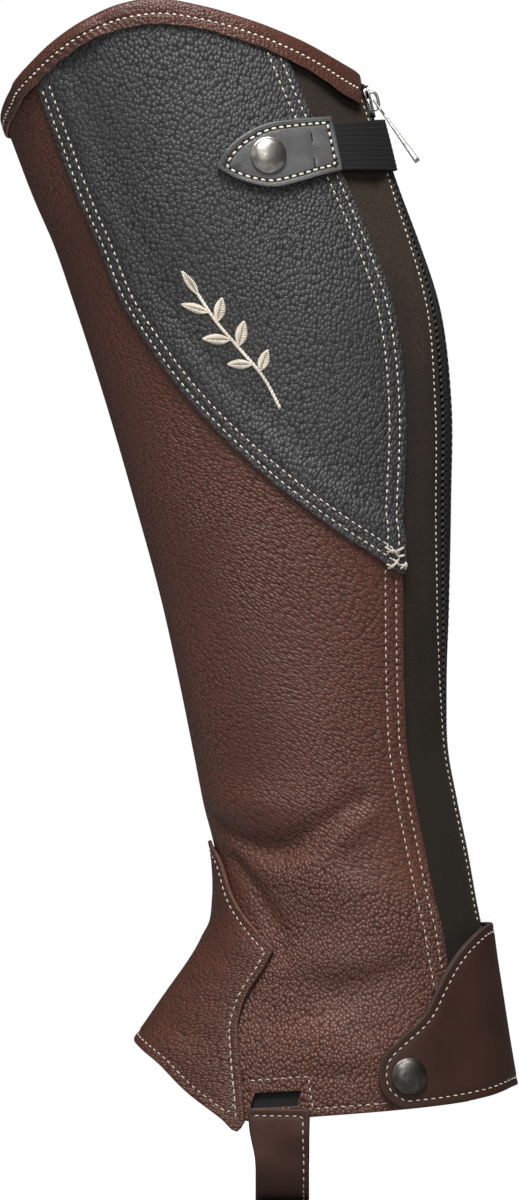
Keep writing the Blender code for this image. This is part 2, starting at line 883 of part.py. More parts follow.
SLIDER_TURN = 4.0
SLIDER_HEIGHT = 74.6
SLIDER_LEAN = 14.0
SLIDER_LENGTH = 13.4
SLIDER_TOP_WIDTH = 9.4
SLIDER_BOTTOM_WIDTH = 7.4
SLIDER_FACES = (0.8, 3.2)
SLIDER_ROUND = 0.6
BRIDGE_HALF = 3.6
BRIDGE_RISE = 2.5
BRIDGE_WIRE = 0.6
BRIDGE_ROOT = 0.8
BRIDGE_POINTS = 11
HINGE_RISE = 0.95

PULL_LEAN = 35.5
PULL_LENGTH = 30.0
PULL_END_HALF = 2.7
# Along the pull and half its width there.
PULL_NECK = (6.4, 1.2)
PULL_EYE_HALF = 2.1
# The eye's near end, far end and half width.
PULL_WINDOW = (0.45, 5.0, 1.1)
PULL_PLATE = 0.9
PULL_END_PLATE = 2.2
PULL_END_CORNER = 0.8
PULL_ROUND = 0.12

WELD = 0.000001


def slider_frame():
    """The slider's own axes: X across, Y up its length and Z out of its face."""
    lean = math.radians(SLIDER_LEAN)
    foot = form(SLIDER_TURN, SLIDER_HEIGHT) * MM
    out = Vector((math.cos(lean), 0, math.sin(lean)))
    up = Vector((-math.sin(lean), 0, math.cos(lean)))
    axes = Matrix((up.cross(out), up, out)).transposed()
    return Matrix.Translation(foot) @ axes.to_4x4()


def hinge_frame():
    """The pull's axes at rest: X along the pull, Y along its hinge."""
    lean = math.radians(PULL_LEAN)
    hinge = slider_frame() @ Vector((0, 0, (SLIDER_FACES[1] + HINGE_RISE) * MM))
    along = Vector((math.sin(lean), 0, -math.cos(lean)))
    across = Vector((0, 1, 0))
    axes = Matrix((along, across, along.cross(across))).transposed()
    return Matrix.Translation(hinge) @ axes.to_4x4()


def to_welded_mesh(curve_object, name, material, collection):
    """The curve's evaluated mesh as an object of its own, its caps welded."""
    bpy.context.view_layer.update()
    evaluated = curve_object.evaluated_get(bpy.context.evaluated_depsgraph_get())
    mesh = bpy.data.meshes.new_from_object(evaluated)
    cage = bmesh.new()
    cage.from_mesh(mesh)
    bmesh.ops.remove_doubles(cage, verts=cage.verts, dist=WELD)
    cage.to_mesh(mesh)
    cage.free()
    mesh.materials.clear()
    mesh.materials.append(material)
    made = bpy.data.objects.new(name, mesh)
    made.matrix_world = curve_object.matrix_world.copy()
    bpy.data.collections[collection].objects.link(made)
    bpy.data.objects.remove(curve_object, do_unlink=True)
    return made


def new_curve(name, splines, dimensions):
    curve = bpy.data.curves.new(name, "CURVE")
    curve.dimensions = dimensions
    for points, closed in splines:
        spline = curve.splines.new("POLY")
        spline.points.add(len(points) - 1)
        for point, place in zip(spline.points, points):
            point.co = (*(value * MM for value in place), 1)
        spline.use_cyclic_u = closed
    made = bpy.data.objects.new(name, curve)
    bpy.data.collections["cutters"].objects.link(made)
    return made


def slider_bridge(material):
    """The arch over the slider's face that the pull's eye hangs on."""
    points = []
    for angle in np.radians(np.linspace(0, 180, BRIDGE_POINTS)):
        rise = BRIDGE_RISE * math.sin(angle) ** 0.5
        points.append((0, BRIDGE_HALF * math.cos(angle), SLIDER_FACES[1] + rise))
    first = (0, BRIDGE_HALF, SLIDER_FACES[1] - BRIDGE_ROOT)
    last = (0, -BRIDGE_HALF, SLIDER_FACES[1] - BRIDGE_ROOT)
    arch = new_curve("bridge_wire", [([first, *points, last], False)], "3D")
    arch.data.bevel_depth = BRIDGE_WIRE * MM
    arch.data.bevel_resolution = 2
    arch.data.use_fill_caps = True
    arch.matrix_world = slider_frame()
    arch = to_welded_mesh(arch, "bridge", material, "cutters")
    arch.hide_render = True
    arch.display_type = "WIRE"
    return arch


def zip_slider(material):
    cage = bmesh.new()
    bmesh.ops.create_cube(cage, size=1)
    low, high = SLIDER_FACES
    for corner in cage.verts:
        width = SLIDER_TOP_WIDTH if corner.co.y > 0 else SLIDER_BOTTOM_WIDTH
        corner.co.x *= width * MM
        corner.co.y *= SLIDER_LENGTH * MM
        corner.co.z = (low if corner.co.z < 0 else high) * MM
    mesh = bpy.data.meshes.new("zip_slider")
    cage.to_mesh(mesh)
    cage.free()
    slider = new_object("zip_slider", mesh, material)
    slider.matrix_world = slider_frame()
    rounded = slider.modifiers.new("rounded", "BEVEL")
    rounded.width = SLIDER_ROUND * MM
    rounded.segments = 2
    joined = slider.modifiers.new("bridge", "BOOLEAN")
    joined.operation = "UNION"
    joined.solver = "EXACT"
    joined.object = slider_bridge(material)
    return slider


def zip_pull(material):
    """A slim bar that widens and thickens to its end, with an eye round the bridge."""
    neck, neck_half = PULL_NECK
    near, far, window_half = PULL_WINDOW
    half = [
        (-near, PULL_EYE_HALF),
        (far, PULL_EYE_HALF),
        (neck, neck_half),
        (PULL_LENGTH - PULL_END_CORNER, PULL_END_HALF),
        (PULL_LENGTH, PULL_END_HALF - PULL_END_CORNER),
    ]
    outline = [(x, y, 0) for x, y in half] + [(x, -y, 0) for x, y in reversed(half)]
    window = [
        (near, window_half, 0),
        (far, window_half, 0),
        (far, -window_half, 0),
        (near, -window_half, 0),
    ]
    flat = new_curve("pull_outline", [(outline, True), (window, True)], "2D")
    flat.data.fill_mode = "BOTH"
    flat.data.extrude = PULL_PLATE / 2 * MM
    pull = to_welded_mesh(flat, "zip_pull", material, "half_chap")
    for vertex in pull.data.vertices:
        along = max(0, vertex.co.x / MM - neck) / (PULL_LENGTH - neck)
        vertex.co.z *= 1 + (PULL_END_PLATE / PULL_PLATE - 1) * along
    rounded = pull.modifiers.new("rounded", "BEVEL")
    rounded.width = PULL_ROUND * MM
    rounded.segments = 1
    pull.matrix_world = hinge_frame()
    return pull


# From the middle of a snap cap's back to the top of its dome.
SNAP_PROFILE = (
    # radius, height
    (0.0, 0.0),
    (6.3, 0.0),
    (7.1, 0.2),
    (7.3, 0.8),
    (6.9, 1.5),
    (5.5, 2.4),
    (2.9, 3.0),
    (0.0, 3.2),
)
SNAP_STEPS = 28


def snap(name, place, rest, material):
    """A domed press stud cap that stands rest millimetres off the form."""
    turn, height = place
    foot = form(turn, height, rest)
    out = Vector(form(turn, height, rest + 1) - foot).normalized()
    mesh = bpy.data.meshes.new(name)
    points = [(radius * MM, 0, z * MM) for radius, z in reversed(SNAP_PROFILE)]
    mesh.from_pydata(points, [(i, i + 1) for i in range(len(points) - 1)], [])
    cap = new_object(name, mesh, material)
    turned = cap.modifiers.new("turned", "SCREW")
    turned.steps = SNAP_STEPS
    turned.render_steps = SNAP_STEPS
    turned.use_merge_vertices = True
    turned.merge_threshold = WELD
    turned.use_smooth_shade = True
    cap.matrix_world = Matrix.Translation(Vector(foot) * MM) @ (
        out.to_track_quat("Z", "Y").to_matrix().to_4x4()
    )
    return cap


def main():
    for old in list(bpy.data.objects):
        bpy.data.objects.remove(old, do_unlink=True)
    for name in ("half_chap", "cutters"):
        collection = bpy.data.collections.new(name)
        bpy.context.scene.collection.children.link(collection)
    bpy.data.collections["cutters"].hide_render = True
    materials = make_materials()
    main_panel(materials["brown_pebbled_leather"])
    yoke(materials["black_pebbled_leather"])
    gusset(materials["gusset_cloth"])
    zip_tape(materials["zip_black"])
    zip_chain(materials["zip_black"])
    instep(materials["brown_pebbled_leather"])
    top_binding(materials["brown_smooth_leather"])
    ankle_flap(materials["brown_smooth_leather"])
    calf_tab(materials["black_smooth_leather"])
    calf_elastic(materials["black_webbing"])
    strap_elastic(materials["black_webbing"])
    foot_strap(materials["brown_smooth_leather"])
    tab_face = YOKE_LEATHER + WIDE_GAP + TAB_LEATHER
    snap("calf_snap", CALF_SNAP, tab_face + GAP, materials["dull_metal"])
    snap("ankle_snap", ANKLE_SNAP, LEATHER + FLAP_LEATHER + 2 * GAP, materials["dull_metal"])
    zip_slider(materials["bright_metal"])
    zip_pull(materials["bright_metal"])


main()
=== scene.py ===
"""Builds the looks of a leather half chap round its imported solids.

Every leather and cloth piece is a flat pattern, drawn as turn round the leg and height, and laid
on the leg form. Turn 0 is the back, 90 the outer side, 180 the shin and 270 the inner side.
Patterns and sizes are in millimetres and degrees, and meshes are in metres.
"""

import math

import bpy
import numpy as np
from bpy.props import FloatProperty, FloatVectorProperty, PointerProperty
from bpy.types import Operator, Panel, PropertyGroup
from mathutils import Matrix, Vector
from mathutils.geometry import delaunay_2d_cdt
from mathutils.kdtree import KDTree


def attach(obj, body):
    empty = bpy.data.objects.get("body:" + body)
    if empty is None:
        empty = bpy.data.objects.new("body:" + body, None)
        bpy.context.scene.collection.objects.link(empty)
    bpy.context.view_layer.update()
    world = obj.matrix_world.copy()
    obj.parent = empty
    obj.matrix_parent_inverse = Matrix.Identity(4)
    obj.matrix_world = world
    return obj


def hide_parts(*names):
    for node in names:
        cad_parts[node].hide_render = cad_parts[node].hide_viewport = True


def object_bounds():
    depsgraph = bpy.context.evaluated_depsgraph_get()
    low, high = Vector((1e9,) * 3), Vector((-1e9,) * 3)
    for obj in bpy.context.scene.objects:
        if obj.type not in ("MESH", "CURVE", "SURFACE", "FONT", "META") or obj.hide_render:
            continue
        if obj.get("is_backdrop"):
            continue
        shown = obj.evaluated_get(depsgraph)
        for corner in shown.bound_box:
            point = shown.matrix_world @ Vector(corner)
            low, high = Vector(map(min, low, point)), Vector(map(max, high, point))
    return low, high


bl_info = {
    "name": "Half Chap",
    "version": (1, 0, 0),
    "blender": (4, 5, 0),
    "location": "View3D > Sidebar > Half Chap",
    "description": "Builds the leather, cloth, metal and sewing of a worn half chap",
    "category": "Object",
}

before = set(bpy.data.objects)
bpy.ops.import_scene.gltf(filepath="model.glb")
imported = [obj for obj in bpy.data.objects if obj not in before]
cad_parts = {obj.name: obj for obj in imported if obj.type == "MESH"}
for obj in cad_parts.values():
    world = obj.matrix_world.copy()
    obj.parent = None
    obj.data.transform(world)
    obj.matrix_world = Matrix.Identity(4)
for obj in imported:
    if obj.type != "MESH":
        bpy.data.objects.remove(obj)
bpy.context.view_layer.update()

MM = 0.001

# ---------------------------------------------------------------- walls and laps

GAP = 0.3
WIDE_GAP = 0.5
LEATHER = 1.6
YOKE_LEATHER = 1.4
STRETCH_CLOTH = 1.2
ZIP_TAPE = 1.0
BINDING = 1.2
FLAP_LEATHER = 2.4
TAB_LEATHER = 2.6
WEBBING = 1.4
STRAP_LEATHER = 2.2

SEAM_LAP = 10.0
LAP_EASE = (12.0, 19.0)
GUSSET_LAP = 9.0
ZIP_EDGE = 4.0
SLIDER_ROOM = 1.3
SLIDER_ROOM_FROM = 58.0
TAPE_HALF = 11.5
TAPE_EASE = (12.5, 20.0)

# ---------------------------------------------------------------- the leg form

SECTIONS = (
    # height, front, back, half_width, egg
    (-346, -73.0, 103.8, 44.2, 0.27),
    (-330, -62.6, 101.6, 43.7, 0.25),
    (-316, -53.6, 99.6, 43.2, 0.24),
    (-300, -42.6, 97.2, 42.4, 0.22),
    (-284, -31.6, 95.0, 41.4, 0.20),
    (-268, -20.4, 92.8, 40.2, 0.17),
    (-256, -13.4, 91.3, 39.4, 0.15),
    (-244, -11.6, 89.0, 38.8, 0.14),
    (-226, -12.2, 85.8, 38.3, 0.13),
    (-204, -17.2, 81.3, 38.6, 0.12),
    (-184, -21.2, 77.7, 39.6, 0.11),
    (-164, -25.2, 77.1, 41.0, 0.10),
    (-124, -34.0, 78.0, 44.2, 0.10),
    (-84, -44.8, 78.9, 47.8, 0.10),
    (-44, -56.4, 79.0, 51.4, 0.10),
    (-4, -69.2, 73.6, 54.8, 0.09),
    (20, -77.6, 65.6, 56.0, 0.08),
    (36, -84.6, 59.6, 56.5, 0.08),
    (60, -93.8, 51.2, 57.0, 0.07),
    (92, -106.0, 39.2, 57.2, 0.06),
    (130, -121.2, 24.4, 57.0, 0.06),
)
FRONT, BACK, HALF_WIDTH, EGG = range(1, 5)

FOLDS = (
    # turn, height, half_turn, half_height, lift
    (130, -206, 28, 9, 1.7),
    (122, -224, 28, 8, -2.4),
    (102, -239, 26, 10, 1.7),
    (230, -206, 28, 9, 1.4),
    (238, -225, 26, 9, -1.9),
    (86, -286, 20, 11, -1.5),
    (92, -305, 20, 8, 1.3),
    (284, -284, 20, 13, -1.1),
    (146, -120, 24, 30, -0.8),
)


def unit(vectors):
    """The vectors with a length of one."""
    return vectors / np.linalg.norm(vectors, axis=-1, keepdims=True)


def run(points):
    """How far along a line each of its points is."""
    return np.concatenate([[0], np.cumsum(np.linalg.norm(np.diff(points, axis=0), axis=1))])


def read(table, key, column):
    """Reads one column of a table at any key, as a smooth curve through its rows."""
    rows = np.array(table, float)
    keys = rows[:, 0]
    values = rows[:, column]
    slopes = np.gradient(values, keys)
    key = np.clip(key, keys[0], keys[-1])
    row = np.clip(np.searchsorted(keys, key, side="right") - 1, 0, len(keys) - 2)
    span = keys[row + 1] - keys[row]
    t = (key - keys[row]) / span
    return (
        (2 * t**3 - 3 * t**2 + 1) * values[row]
        + (t**3 - 2 * t**2 + t) * span * slopes[row]
        + (3 * t**2 - 2 * t**3) * values[row + 1]
        + (t**3 - t**2) * span * slopes[row + 1]
    )


def rise(value, low, high):
    """0 below low, 1 above high and smooth between."""
    t = np.clip((value - low) / (high - low), 0, 1)
    return t * t * (3 - 2 * t)


def skin(turn, height):
    """The smooth leg, without folds."""
    front = read(SECTIONS, height, FRONT)
    back = read(SECTIONS, height, BACK)
    half_width = read(SECTIONS, height, HALF_WIDTH)
    egg = read(SECTIONS, height, EGG)
    angle = np.radians(turn)
    x = (front + back) / 2 + (back - front) / 2 * np.cos(angle)
    y = -half_width * np.sin(angle) * (1 + egg * np.cos(angle))
    return np.stack([x, y, height + 0 * x], axis=-1)


def swell(turn, height, table):
    """How far the rows of a table of folds lift the leather."""
    total = 0 * turn
    for fold_turn, fold_height, half_turn, half_height, lift in table:
        around = (turn - fold_turn + 180) % 360 - 180
        reach = (around / half_turn) ** 2 + ((height - fold_height) / half_height) ** 2
        total = total + lift * np.exp(-reach)
    return total


class Leg:
    """The form that the leather lies on."""

    across = 0.9  # millimetres for one degree of turn on the flat patterns

    def stretch(self, turn, height):
        around = skin(turn + 0.5, height) - skin(turn - 0.5, height)
        upward = skin(turn, height + 0.5) - skin(turn, height - 0.5)
        return np.stack([np.linalg.norm(way, axis=-1) for way in (around, upward)], axis=-1)

    def point(self, turn, height, lift=0.0):
        turn, height, lift = np.broadcast_arrays(*(np.asarray(v, float) for v in (turn, height, lift)))
        step = 0.05
        around = skin(turn + step, height) - skin(turn - step, height)
        upward = skin(turn, height + step) - skin(turn, height - step)
        normal = unit(np.cross(upward, around))
        return skin(turn, height) + normal * (lift + swell(turn, height, FOLDS))[..., None]


class Bench:
    """A flat surface with its own axes, for metal pieces."""

    across = 1.0

    def __init__(self, matrix, thicker=None):
        self.matrix = np.array(matrix, float)
        self.thicker = thicker or (lambda u, v: 1.0)

    def stretch(self, u, v):
        return np.ones((len(u), 2))

    def point(self, u, v, lift=0.0):
        u, v, lift = np.broadcast_arrays(*(np.asarray(n, float) for n in (u, v, lift)))
        lift = lift * self.thicker(u, v)
        here = np.stack([u, v, lift], axis=-1)
        return here @ self.matrix[:3, :3].T + self.matrix[:3, 3] / MM


class Band:
    """A surface swept through rows of points. Across runs from -half to half its width."""

    across = 1.0

    def __init__(self, rows):
        self.rows = np.array(rows, float)
        self.along = run(self.rows.mean(axis=1))
        self.length = self.along[-1]
        self.width = np.linalg.norm(self.rows[0, -1] - self.rows[0, 0])

    def base(self, along, across):
        row = np.interp(along, self.along, np.arange(len(self.along)))
        low = np.clip(row.astype(int), 0, len(self.rows) - 2)
        part = (row - low)[..., None]
        share = (across / self.width + 0.5)[..., None]
        ends = [
            self.rows[low, side] * (1 - part) + self.rows[low + 1, side] * part for side in (0, -1)
        ]
        return ends[0] * (1 - share) + ends[1] * share

    def stretch(self, along, across):
        return np.ones((len(along), 2))

    def point(self, along, across, lift=0.0):
        along, across, lift = np.broadcast_arrays(*(np.asarray(n, float) for n in (along, across, lift)))
        step = 1.2
        ahead = self.base(np.clip(along + step, 0, self.length), across)
        ahead = ahead - self.base(np.clip(along - step, 0, self.length), across)
        sideways = self.base(along, across + step) - self.base(along, across - step)
        normal = unit(np.cross(ahead, sideways))
        return self.base(along, across) + normal * lift[..., None]


LEG = Leg()

# ---------------------------------------------------------------- pattern lines

EDGE_STEP = 2.2
GRID = 2.7
STROKE_STEP = 3.0


def through(points, step=EDGE_STEP):
    """A smooth line through pattern points."""
    points = np.array(points, float)
    along = run(points * (Leg.across, 1))
    where = np.linspace(0, along[-1], max(2, round(along[-1] / step) + 1))
    table = np.column_stack([along, points])
    return np.column_stack([read(table, where, 1), read(table, where, 2)])


def straight(points, step=EDGE_STEP):
    """A line with sharp corners through pattern points."""
    pieces = [through(pair, step) for pair in zip(points[:-1], points[1:])]
    return np.concatenate([piece[:-1] for piece in pieces[:-1]] + [pieces[-1]])


def headings(path, ground=LEG):
    """The scale at each point of a line, and the ways ahead and to its left there."""
    scale = ground.stretch(*path.T)
    ahead = unit(np.gradient(path, axis=0) * scale)
    return scale, ahead, np.column_stack([-ahead[:, 1], ahead[:, 0]])


def beside(path, distance, ground=LEG):
    """The line moved to the left of its own direction."""
    scale, _, left = headings(path, ground)
    return path + distance * left / scale


def inset(loop, distance, ground=LEG, hole=False):
    """A closed line moved into the cloth that it bounds."""
    scale = ground.stretch(*loop.T)
    ahead = unit((np.roll(loop, -1, axis=0) - loop) * scale)
    heading = unit(ahead + np.roll(ahead, 1, axis=0))
    mitre = 1 / np.clip((heading * ahead).sum(1), 0.5, 1)
    left = np.column_stack([-heading[:, 1], heading[:, 0]])
    following = np.roll(loop, -1, axis=0)
    turning = (loop[:, 0] * following[:, 1] - following[:, 0] * loop[:, 1]).sum()
    side = math.copysign(1, turning) * (-1 if hole else 1)
    return loop + side * distance * mitre[:, None] * left / scale


def away(turn, height, path, ground=LEG):
    """The distance of each spot from a line."""
    scale = ground.stretch(turn, height)
    spots = np.column_stack([turn, height])
    nearest = np.full(len(spots), np.inf)
    for start, end in zip(path[:-1], path[1:]):
        chord = (end - start) * scale
        reach = (spots - start) * scale
        t = np.clip((reach * chord).sum(1) / (chord**2).sum(1), 0, 1)
        nearest = np.minimum(nearest, np.linalg.norm(reach - t[:, None] * chord, axis=1))
    return nearest


def strokes(turn, height, table):
    """How far long folds, each drawn as a line, lift the leather."""
    lift = 0 * turn
    for half_width, fold_lift, line in table:
        off = away(turn, height, through(line, STROKE_STEP))
        lift = lift + fold_lift * np.exp(-((off / half_width) ** 2))
    return lift


def between(path, low, high):
    """The stretch of a line whose heights lie between two heights."""
    return path[(path[:, 1] > low) & (path[:, 1] < high)]


def inside(spots, loops):
    """Which spots lie within the loops, counting a loop within another as a hole."""
    odd = np.zeros(len(spots), bool)
    for loop in loops:
        for start, end in zip(loop, np.roll(loop, -1, axis=0)):
            spans = (start[1] > spots[:, 1]) != (end[1] > spots[:, 1])
            climb = end[1] - start[1]
            if climb == 0:
                continue
            crossing = start[0] + (spots[:, 1] - start[1]) * (end[0] - start[0]) / climb
            odd ^= spans & (spots[:, 0] < crossing)
    return odd


def outside_of(path, loop):
    """The part of a line that a closed line doesn't cover."""
    return path[~inside(path, [loop])]


TOP_EDGE = (
    # turn, height
    (0, 84.4),
    (25, 91.1),
    (41, 98.7),
    (57, 106.1),
    (73, 112.2),
    (86, 115.0),
    (98, 112.8),
    (112, 106.3),
    (125, 98.5),
    (137, 90.6),
    (149, 83.3),
    (162, 76.2),
    (176, 70.8),
    (192, 69.5),
    (215, 74.0),
    (240, 81.0),
    (265, 86.0),
    (290, 87.0),
    (320, 85.0),
    (345, 82.8),
    (360, 82.2),
)
HEM = (
    # turn from the back, height
    (0, -319.0),
    (30, -323.2),
    (60, -326.8),
    (90, -330.1),
    (103, -331.6),
    (110, -330.0),
    (117, -326.4),
)
ZIP_LINE = (
    # height, turn
    (-330, 0.0),
    (-200, 0.0),
    (-184, 0.6),
    (-160, 5.5),
    (-130, 11.5),
    (-100, 15.0),
    (-60, 16.0),
    (-30, 15.0),
    (0, 12.0),
    (30, 8.5),
    (60, 5.0),
    (90, 4.0),
    (130, 4.0),
)
GUSSET_EDGE = (
    # turn, height
    (49.5, 112.0),
    (49.0, 90.0),
    (47.8, 68.0),
    (43.8, 45.7),
    (42.0, 20.0),
    (41.4, -5.0),
    (41.8, -30.0),
    (43.2, -60.0),
    (45.6, -91.0),
    (46.8, -125.0),
    (46.8, -160.0),
    (47.0, -190.0),
    (48.0, -215.0),
    (47.4, -238.0),
    (44.4, -258.0),
    (40.2, -278.0),
    (36.6, -306.0),
    (34.6, -330.0),
)
YOKE_SEAM = (
    # turn, height
    (137.6, 104.0),
    (138.0, 80.0),
    (138.4, 50.0),
    (138.2, 20.0),
    (136.6, -5.0),
    (130.6, -22.5),
    (118.7, -47.0),
    (100.8, -71.5),
    (76.0, -95.5),
    (46.0, -115.5),
)
INSTEP_EDGE_UPPER = (
    # turn, height
    (180, -219.5),
    (163, -226.5),
    (151, -241.0),
    (134, -254.5),
    (119, -263.5),
)
INSTEP_EDGE_LOWER = (
    # turn, height
    (119, -263.5),
    (119.5, -271.0),
    (121.2, -281.0),
    (119.6, -292.0),
    (114.0, -305.0),
    (108.4, -319.0),
    (104.2, -332.0),
)
INSTEP_BOTTOM = (
    # turn, height
    (104.2, -332.0),
    (105.2, -335.8),
    (111.6, -330.6),
    (124.0, -321.9),
    (144.0, -309.7),
    (160.0, -304.6),
    (180, -301.0),
)
TAB_UPPER = (
    # turn, height
    (42.4, 67.4),
    (58.0, 66.2),
    (67.0, 64.8),
    (75.0, 60.8),
    (82.0, 54.8),
    (87.0, 48.0),
)
TAB_LOWER = (
    # turn, height
    (87.0, 48.0),
    (83.6, 44.4),
    (78.0, 41.2),
    (72.0, 39.8),
    (64.0, 41.4),
    (54.5, 44.2),
    (45.6, 46.2),
)
BAND_TOP = 66.4
BAND_BOTTOM = 46.8
BAND_UPPER = (
    # turn, height
    (41.9, 65.2),
    (20.0, 65.9),
    (0.0, BAND_TOP),
    (-50.0, BAND_TOP),
)
BAND_LOWER = (
    # turn, height
    (-50.0, BAND_BOTTOM),
    (0.0, BAND_BOTTOM),
    (20.0, 46.6),
    (45.1, 46.4),
)
FLAP_TOP = (
    # turn, height
    (-44.0, -255.0),
    (-20.0, -254.0),
    (4.0, -254.4),
    (21.0, -256.0),
    (33.0, -261.0),
    (42.0, -268.5),
    (48.5, -278.0),
    (55.0, -290.0),
    (63.0, -298.6),
    (68.4, -306.0),
    (69.0, -314.0),
    (66.4, -321.6),
    (60.5, -326.7),
)
FLAP_BOTTOM = (
    # turn, height
    (60.5, -326.7),
    (46.0, -325.0),
    (30.0, -322.5),
    (12.0, -319.2),
    (-6.0, -319.0),
    (-26.0, -322.2),
    (-44.0, -324.6),
)
SLOT_TURNS = (91.2, 104.4)
SLOT_HEIGHTS = (-325.4, -319.4)
SLOT_SLANT = 1.0
ELASTIC_TURNS = (89.2, 105.4)
ELASTIC_HEIGHTS = (-330.4, -313.4)
STRAP_HEIGHTS = (-326.6, -330.0, -333.5, -337.0)
STRAP_HEM_X = (0.0, 24.2)
STRAP_SOLE_X = (2.2, 23.6)
STRAP_TAPER = (329.0, 351.0)
STRAP_SOLE_Z = -361.3
STRAP_BEND = 16.0
STRAP_HALF_SPAN = 44.0
CALF_SNAP = (70.0, 52.4)
ANKLE_SNAP = (59.4, -313.6)


def top_line(drop, first, last):
    """A line that runs drop millimetres below the top edge."""
    turns = np.linspace(first, last, round(abs(last - first) * Leg.across / EDGE_STEP) + 1)
    path = np.column_stack([turns, read(TOP_EDGE, turns % 360.0001, 1)])
    return beside(path, -drop if last > first else drop)


def hem_height(turns):
    return read(HEM, np.abs((turns + 180) % 360 - 180), 1)


def hem_line(first, last, up=0.0):
    count = max(2, round(abs(last - first) * Leg.across / EDGE_STEP) + 1)
    turns = np.linspace(first, last, count)
    return np.column_stack([turns, hem_height(turns) + up])


def turn_on(line, heights):
    """The turn of a falling line at each height."""
    return np.interp(heights, line[::-1, 1], line[::-1, 0])


def zip_line(low, high, whole_turn=0, step=EDGE_STEP):
    heights = np.linspace(low, high, max(2, round((high - low) / step) + 1))
    return np.column_stack([read(ZIP_LINE, heights, 1) + whole_turn, heights])


def zip_side(low, high, side, whole_turn=0, further=0.0):
    """The edge beside the zip, on one side, or a line further from the zip."""
    middle = zip_line(low, high, whole_turn)
    parted = SLIDER_ROOM * rise(middle[:, 1:], SLIDER_ROOM_FROM, SLIDER_ROOM_FROM + 8)
    return beside(middle, side * (ZIP_EDGE + parted + further))


def mirrored(path):
    """The same line on the other side of the shin, in reverse order."""
    return np.column_stack([360 - path[:, 0], path[:, 1]])[::-1]


def cut_at(path, line):
    """The part of a line that lies below another one, whose turns increase."""
    limit = np.interp(path[:, 0], line[:, 0], line[:, 1])
    return path[path[:, 1] < limit]


# A line further inwards than a sewn row is the notch, which stops sooner before the shin.
SEWN_WITHIN = 4.0
SEWN_SHIN_TURN = 179.0
NOTCH_SHIN_TURN = 175.0


def instep_sewn_edge(inward):
    """The instep piece's sewn edge, from hem to hem over the shin, moved inwards."""
    upper = through(INSTEP_EDGE_UPPER)
    lower = through(INSTEP_EDGE_LOWER)
    rising = beside(np.concatenate([lower[::-1][:-1], upper[::-1]]), -inward)
    shin_turn = SEWN_SHIN_TURN if inward < SEWN_WITHIN else NOTCH_SHIN_TURN
    rising = rising[rising[:, 0] < shin_turn]
    return np.concatenate([rising, mirrored(rising)])


def flap_outline():
    end = through((FLAP_BOTTOM[-1], FLAP_TOP[0]))
    return np.concatenate([through(FLAP_TOP)[:-1], through(FLAP_BOTTOM), end[1:-1]])


# ---------------------------------------------------------------- materials


class Web:
    """Adds and joins the nodes of one material."""

    def __init__(self, name):
        self.material = bpy.data.materials.new(name)
        self.material.use_nodes = True
        self.tree = self.material.node_tree
        self.shader = self.tree.nodes["Principled BSDF"]

    def add(self, kind, inputs=None, output=0, **settings):
        node = self.tree.nodes.new(kind)
        for name, value in settings.items():
            setattr(node, name, value)
        for name, value in (inputs or {}).items():
            self.feed(node.inputs[name], value)
        return node.outputs[output]

    def feed(self, socket, value):
        if isinstance(value, bpy.types.NodeSocket):
            self.tree.links.new(value, socket)
        else:
            socket.default_value = value

    def set(self, **values):
        for name, value in values.items():
            self.feed(self.shader.inputs[name.replace("_", " ")], value)

    def here(self):
        return self.add("ShaderNodeTexCoord", output="Object")

    def noise(self, place, scale, detail=2.0, output="Fac"):
        return self.add(
            "ShaderNodeTexNoise", {"Vector": place, "Scale": scale, "Detail": detail}, output
        )

    def cells(self, place, scale, feature="DISTANCE_TO_EDGE", disorder=1.0):
        inputs = {"Vector": place, "Scale": scale, "Randomness": disorder}
        return self.add("ShaderNodeTexVoronoi", inputs, "Distance", feature=feature)

    def spread(self, value, low, high, to_low=0.0, to_high=1.0, smooth=True):
        way = "SMOOTHSTEP" if smooth else "LINEAR"
        inputs = {0: value, 1: low, 2: high, 3: to_low, 4: to_high}
        return self.add("ShaderNodeMapRange", inputs, interpolation_type=way)

    def sum(self, *parts):
        """The sum of pairs of value and weight."""
        total = 0.0
        for value, weight in parts:
            total = self.add(
                "ShaderNodeMath", {0: value, 1: weight, 2: total}, operation="MULTIPLY_ADD"
            )
        return total

    def blend(self, share, low, high, way="MIX"):
        low, high = (
            (*v, 1) if not isinstance(v, bpy.types.NodeSocket) and len(v) == 3 else v
            for v in (low, high)
        )
        return self.add(
            "ShaderNodeMix", {0: share, 6: low, 7: high}, 2, data_type="RGBA", blend_type=way
        )

    def bump(self, height, depth, strength=1.0):
        inputs = {"Height": height, "Distance": depth * MM, "Strength": strength}
        self.set(Normal=self.add("ShaderNodeBump", inputs))


def shade(colour, amount):
    return tuple(channel * amount for channel in colour)


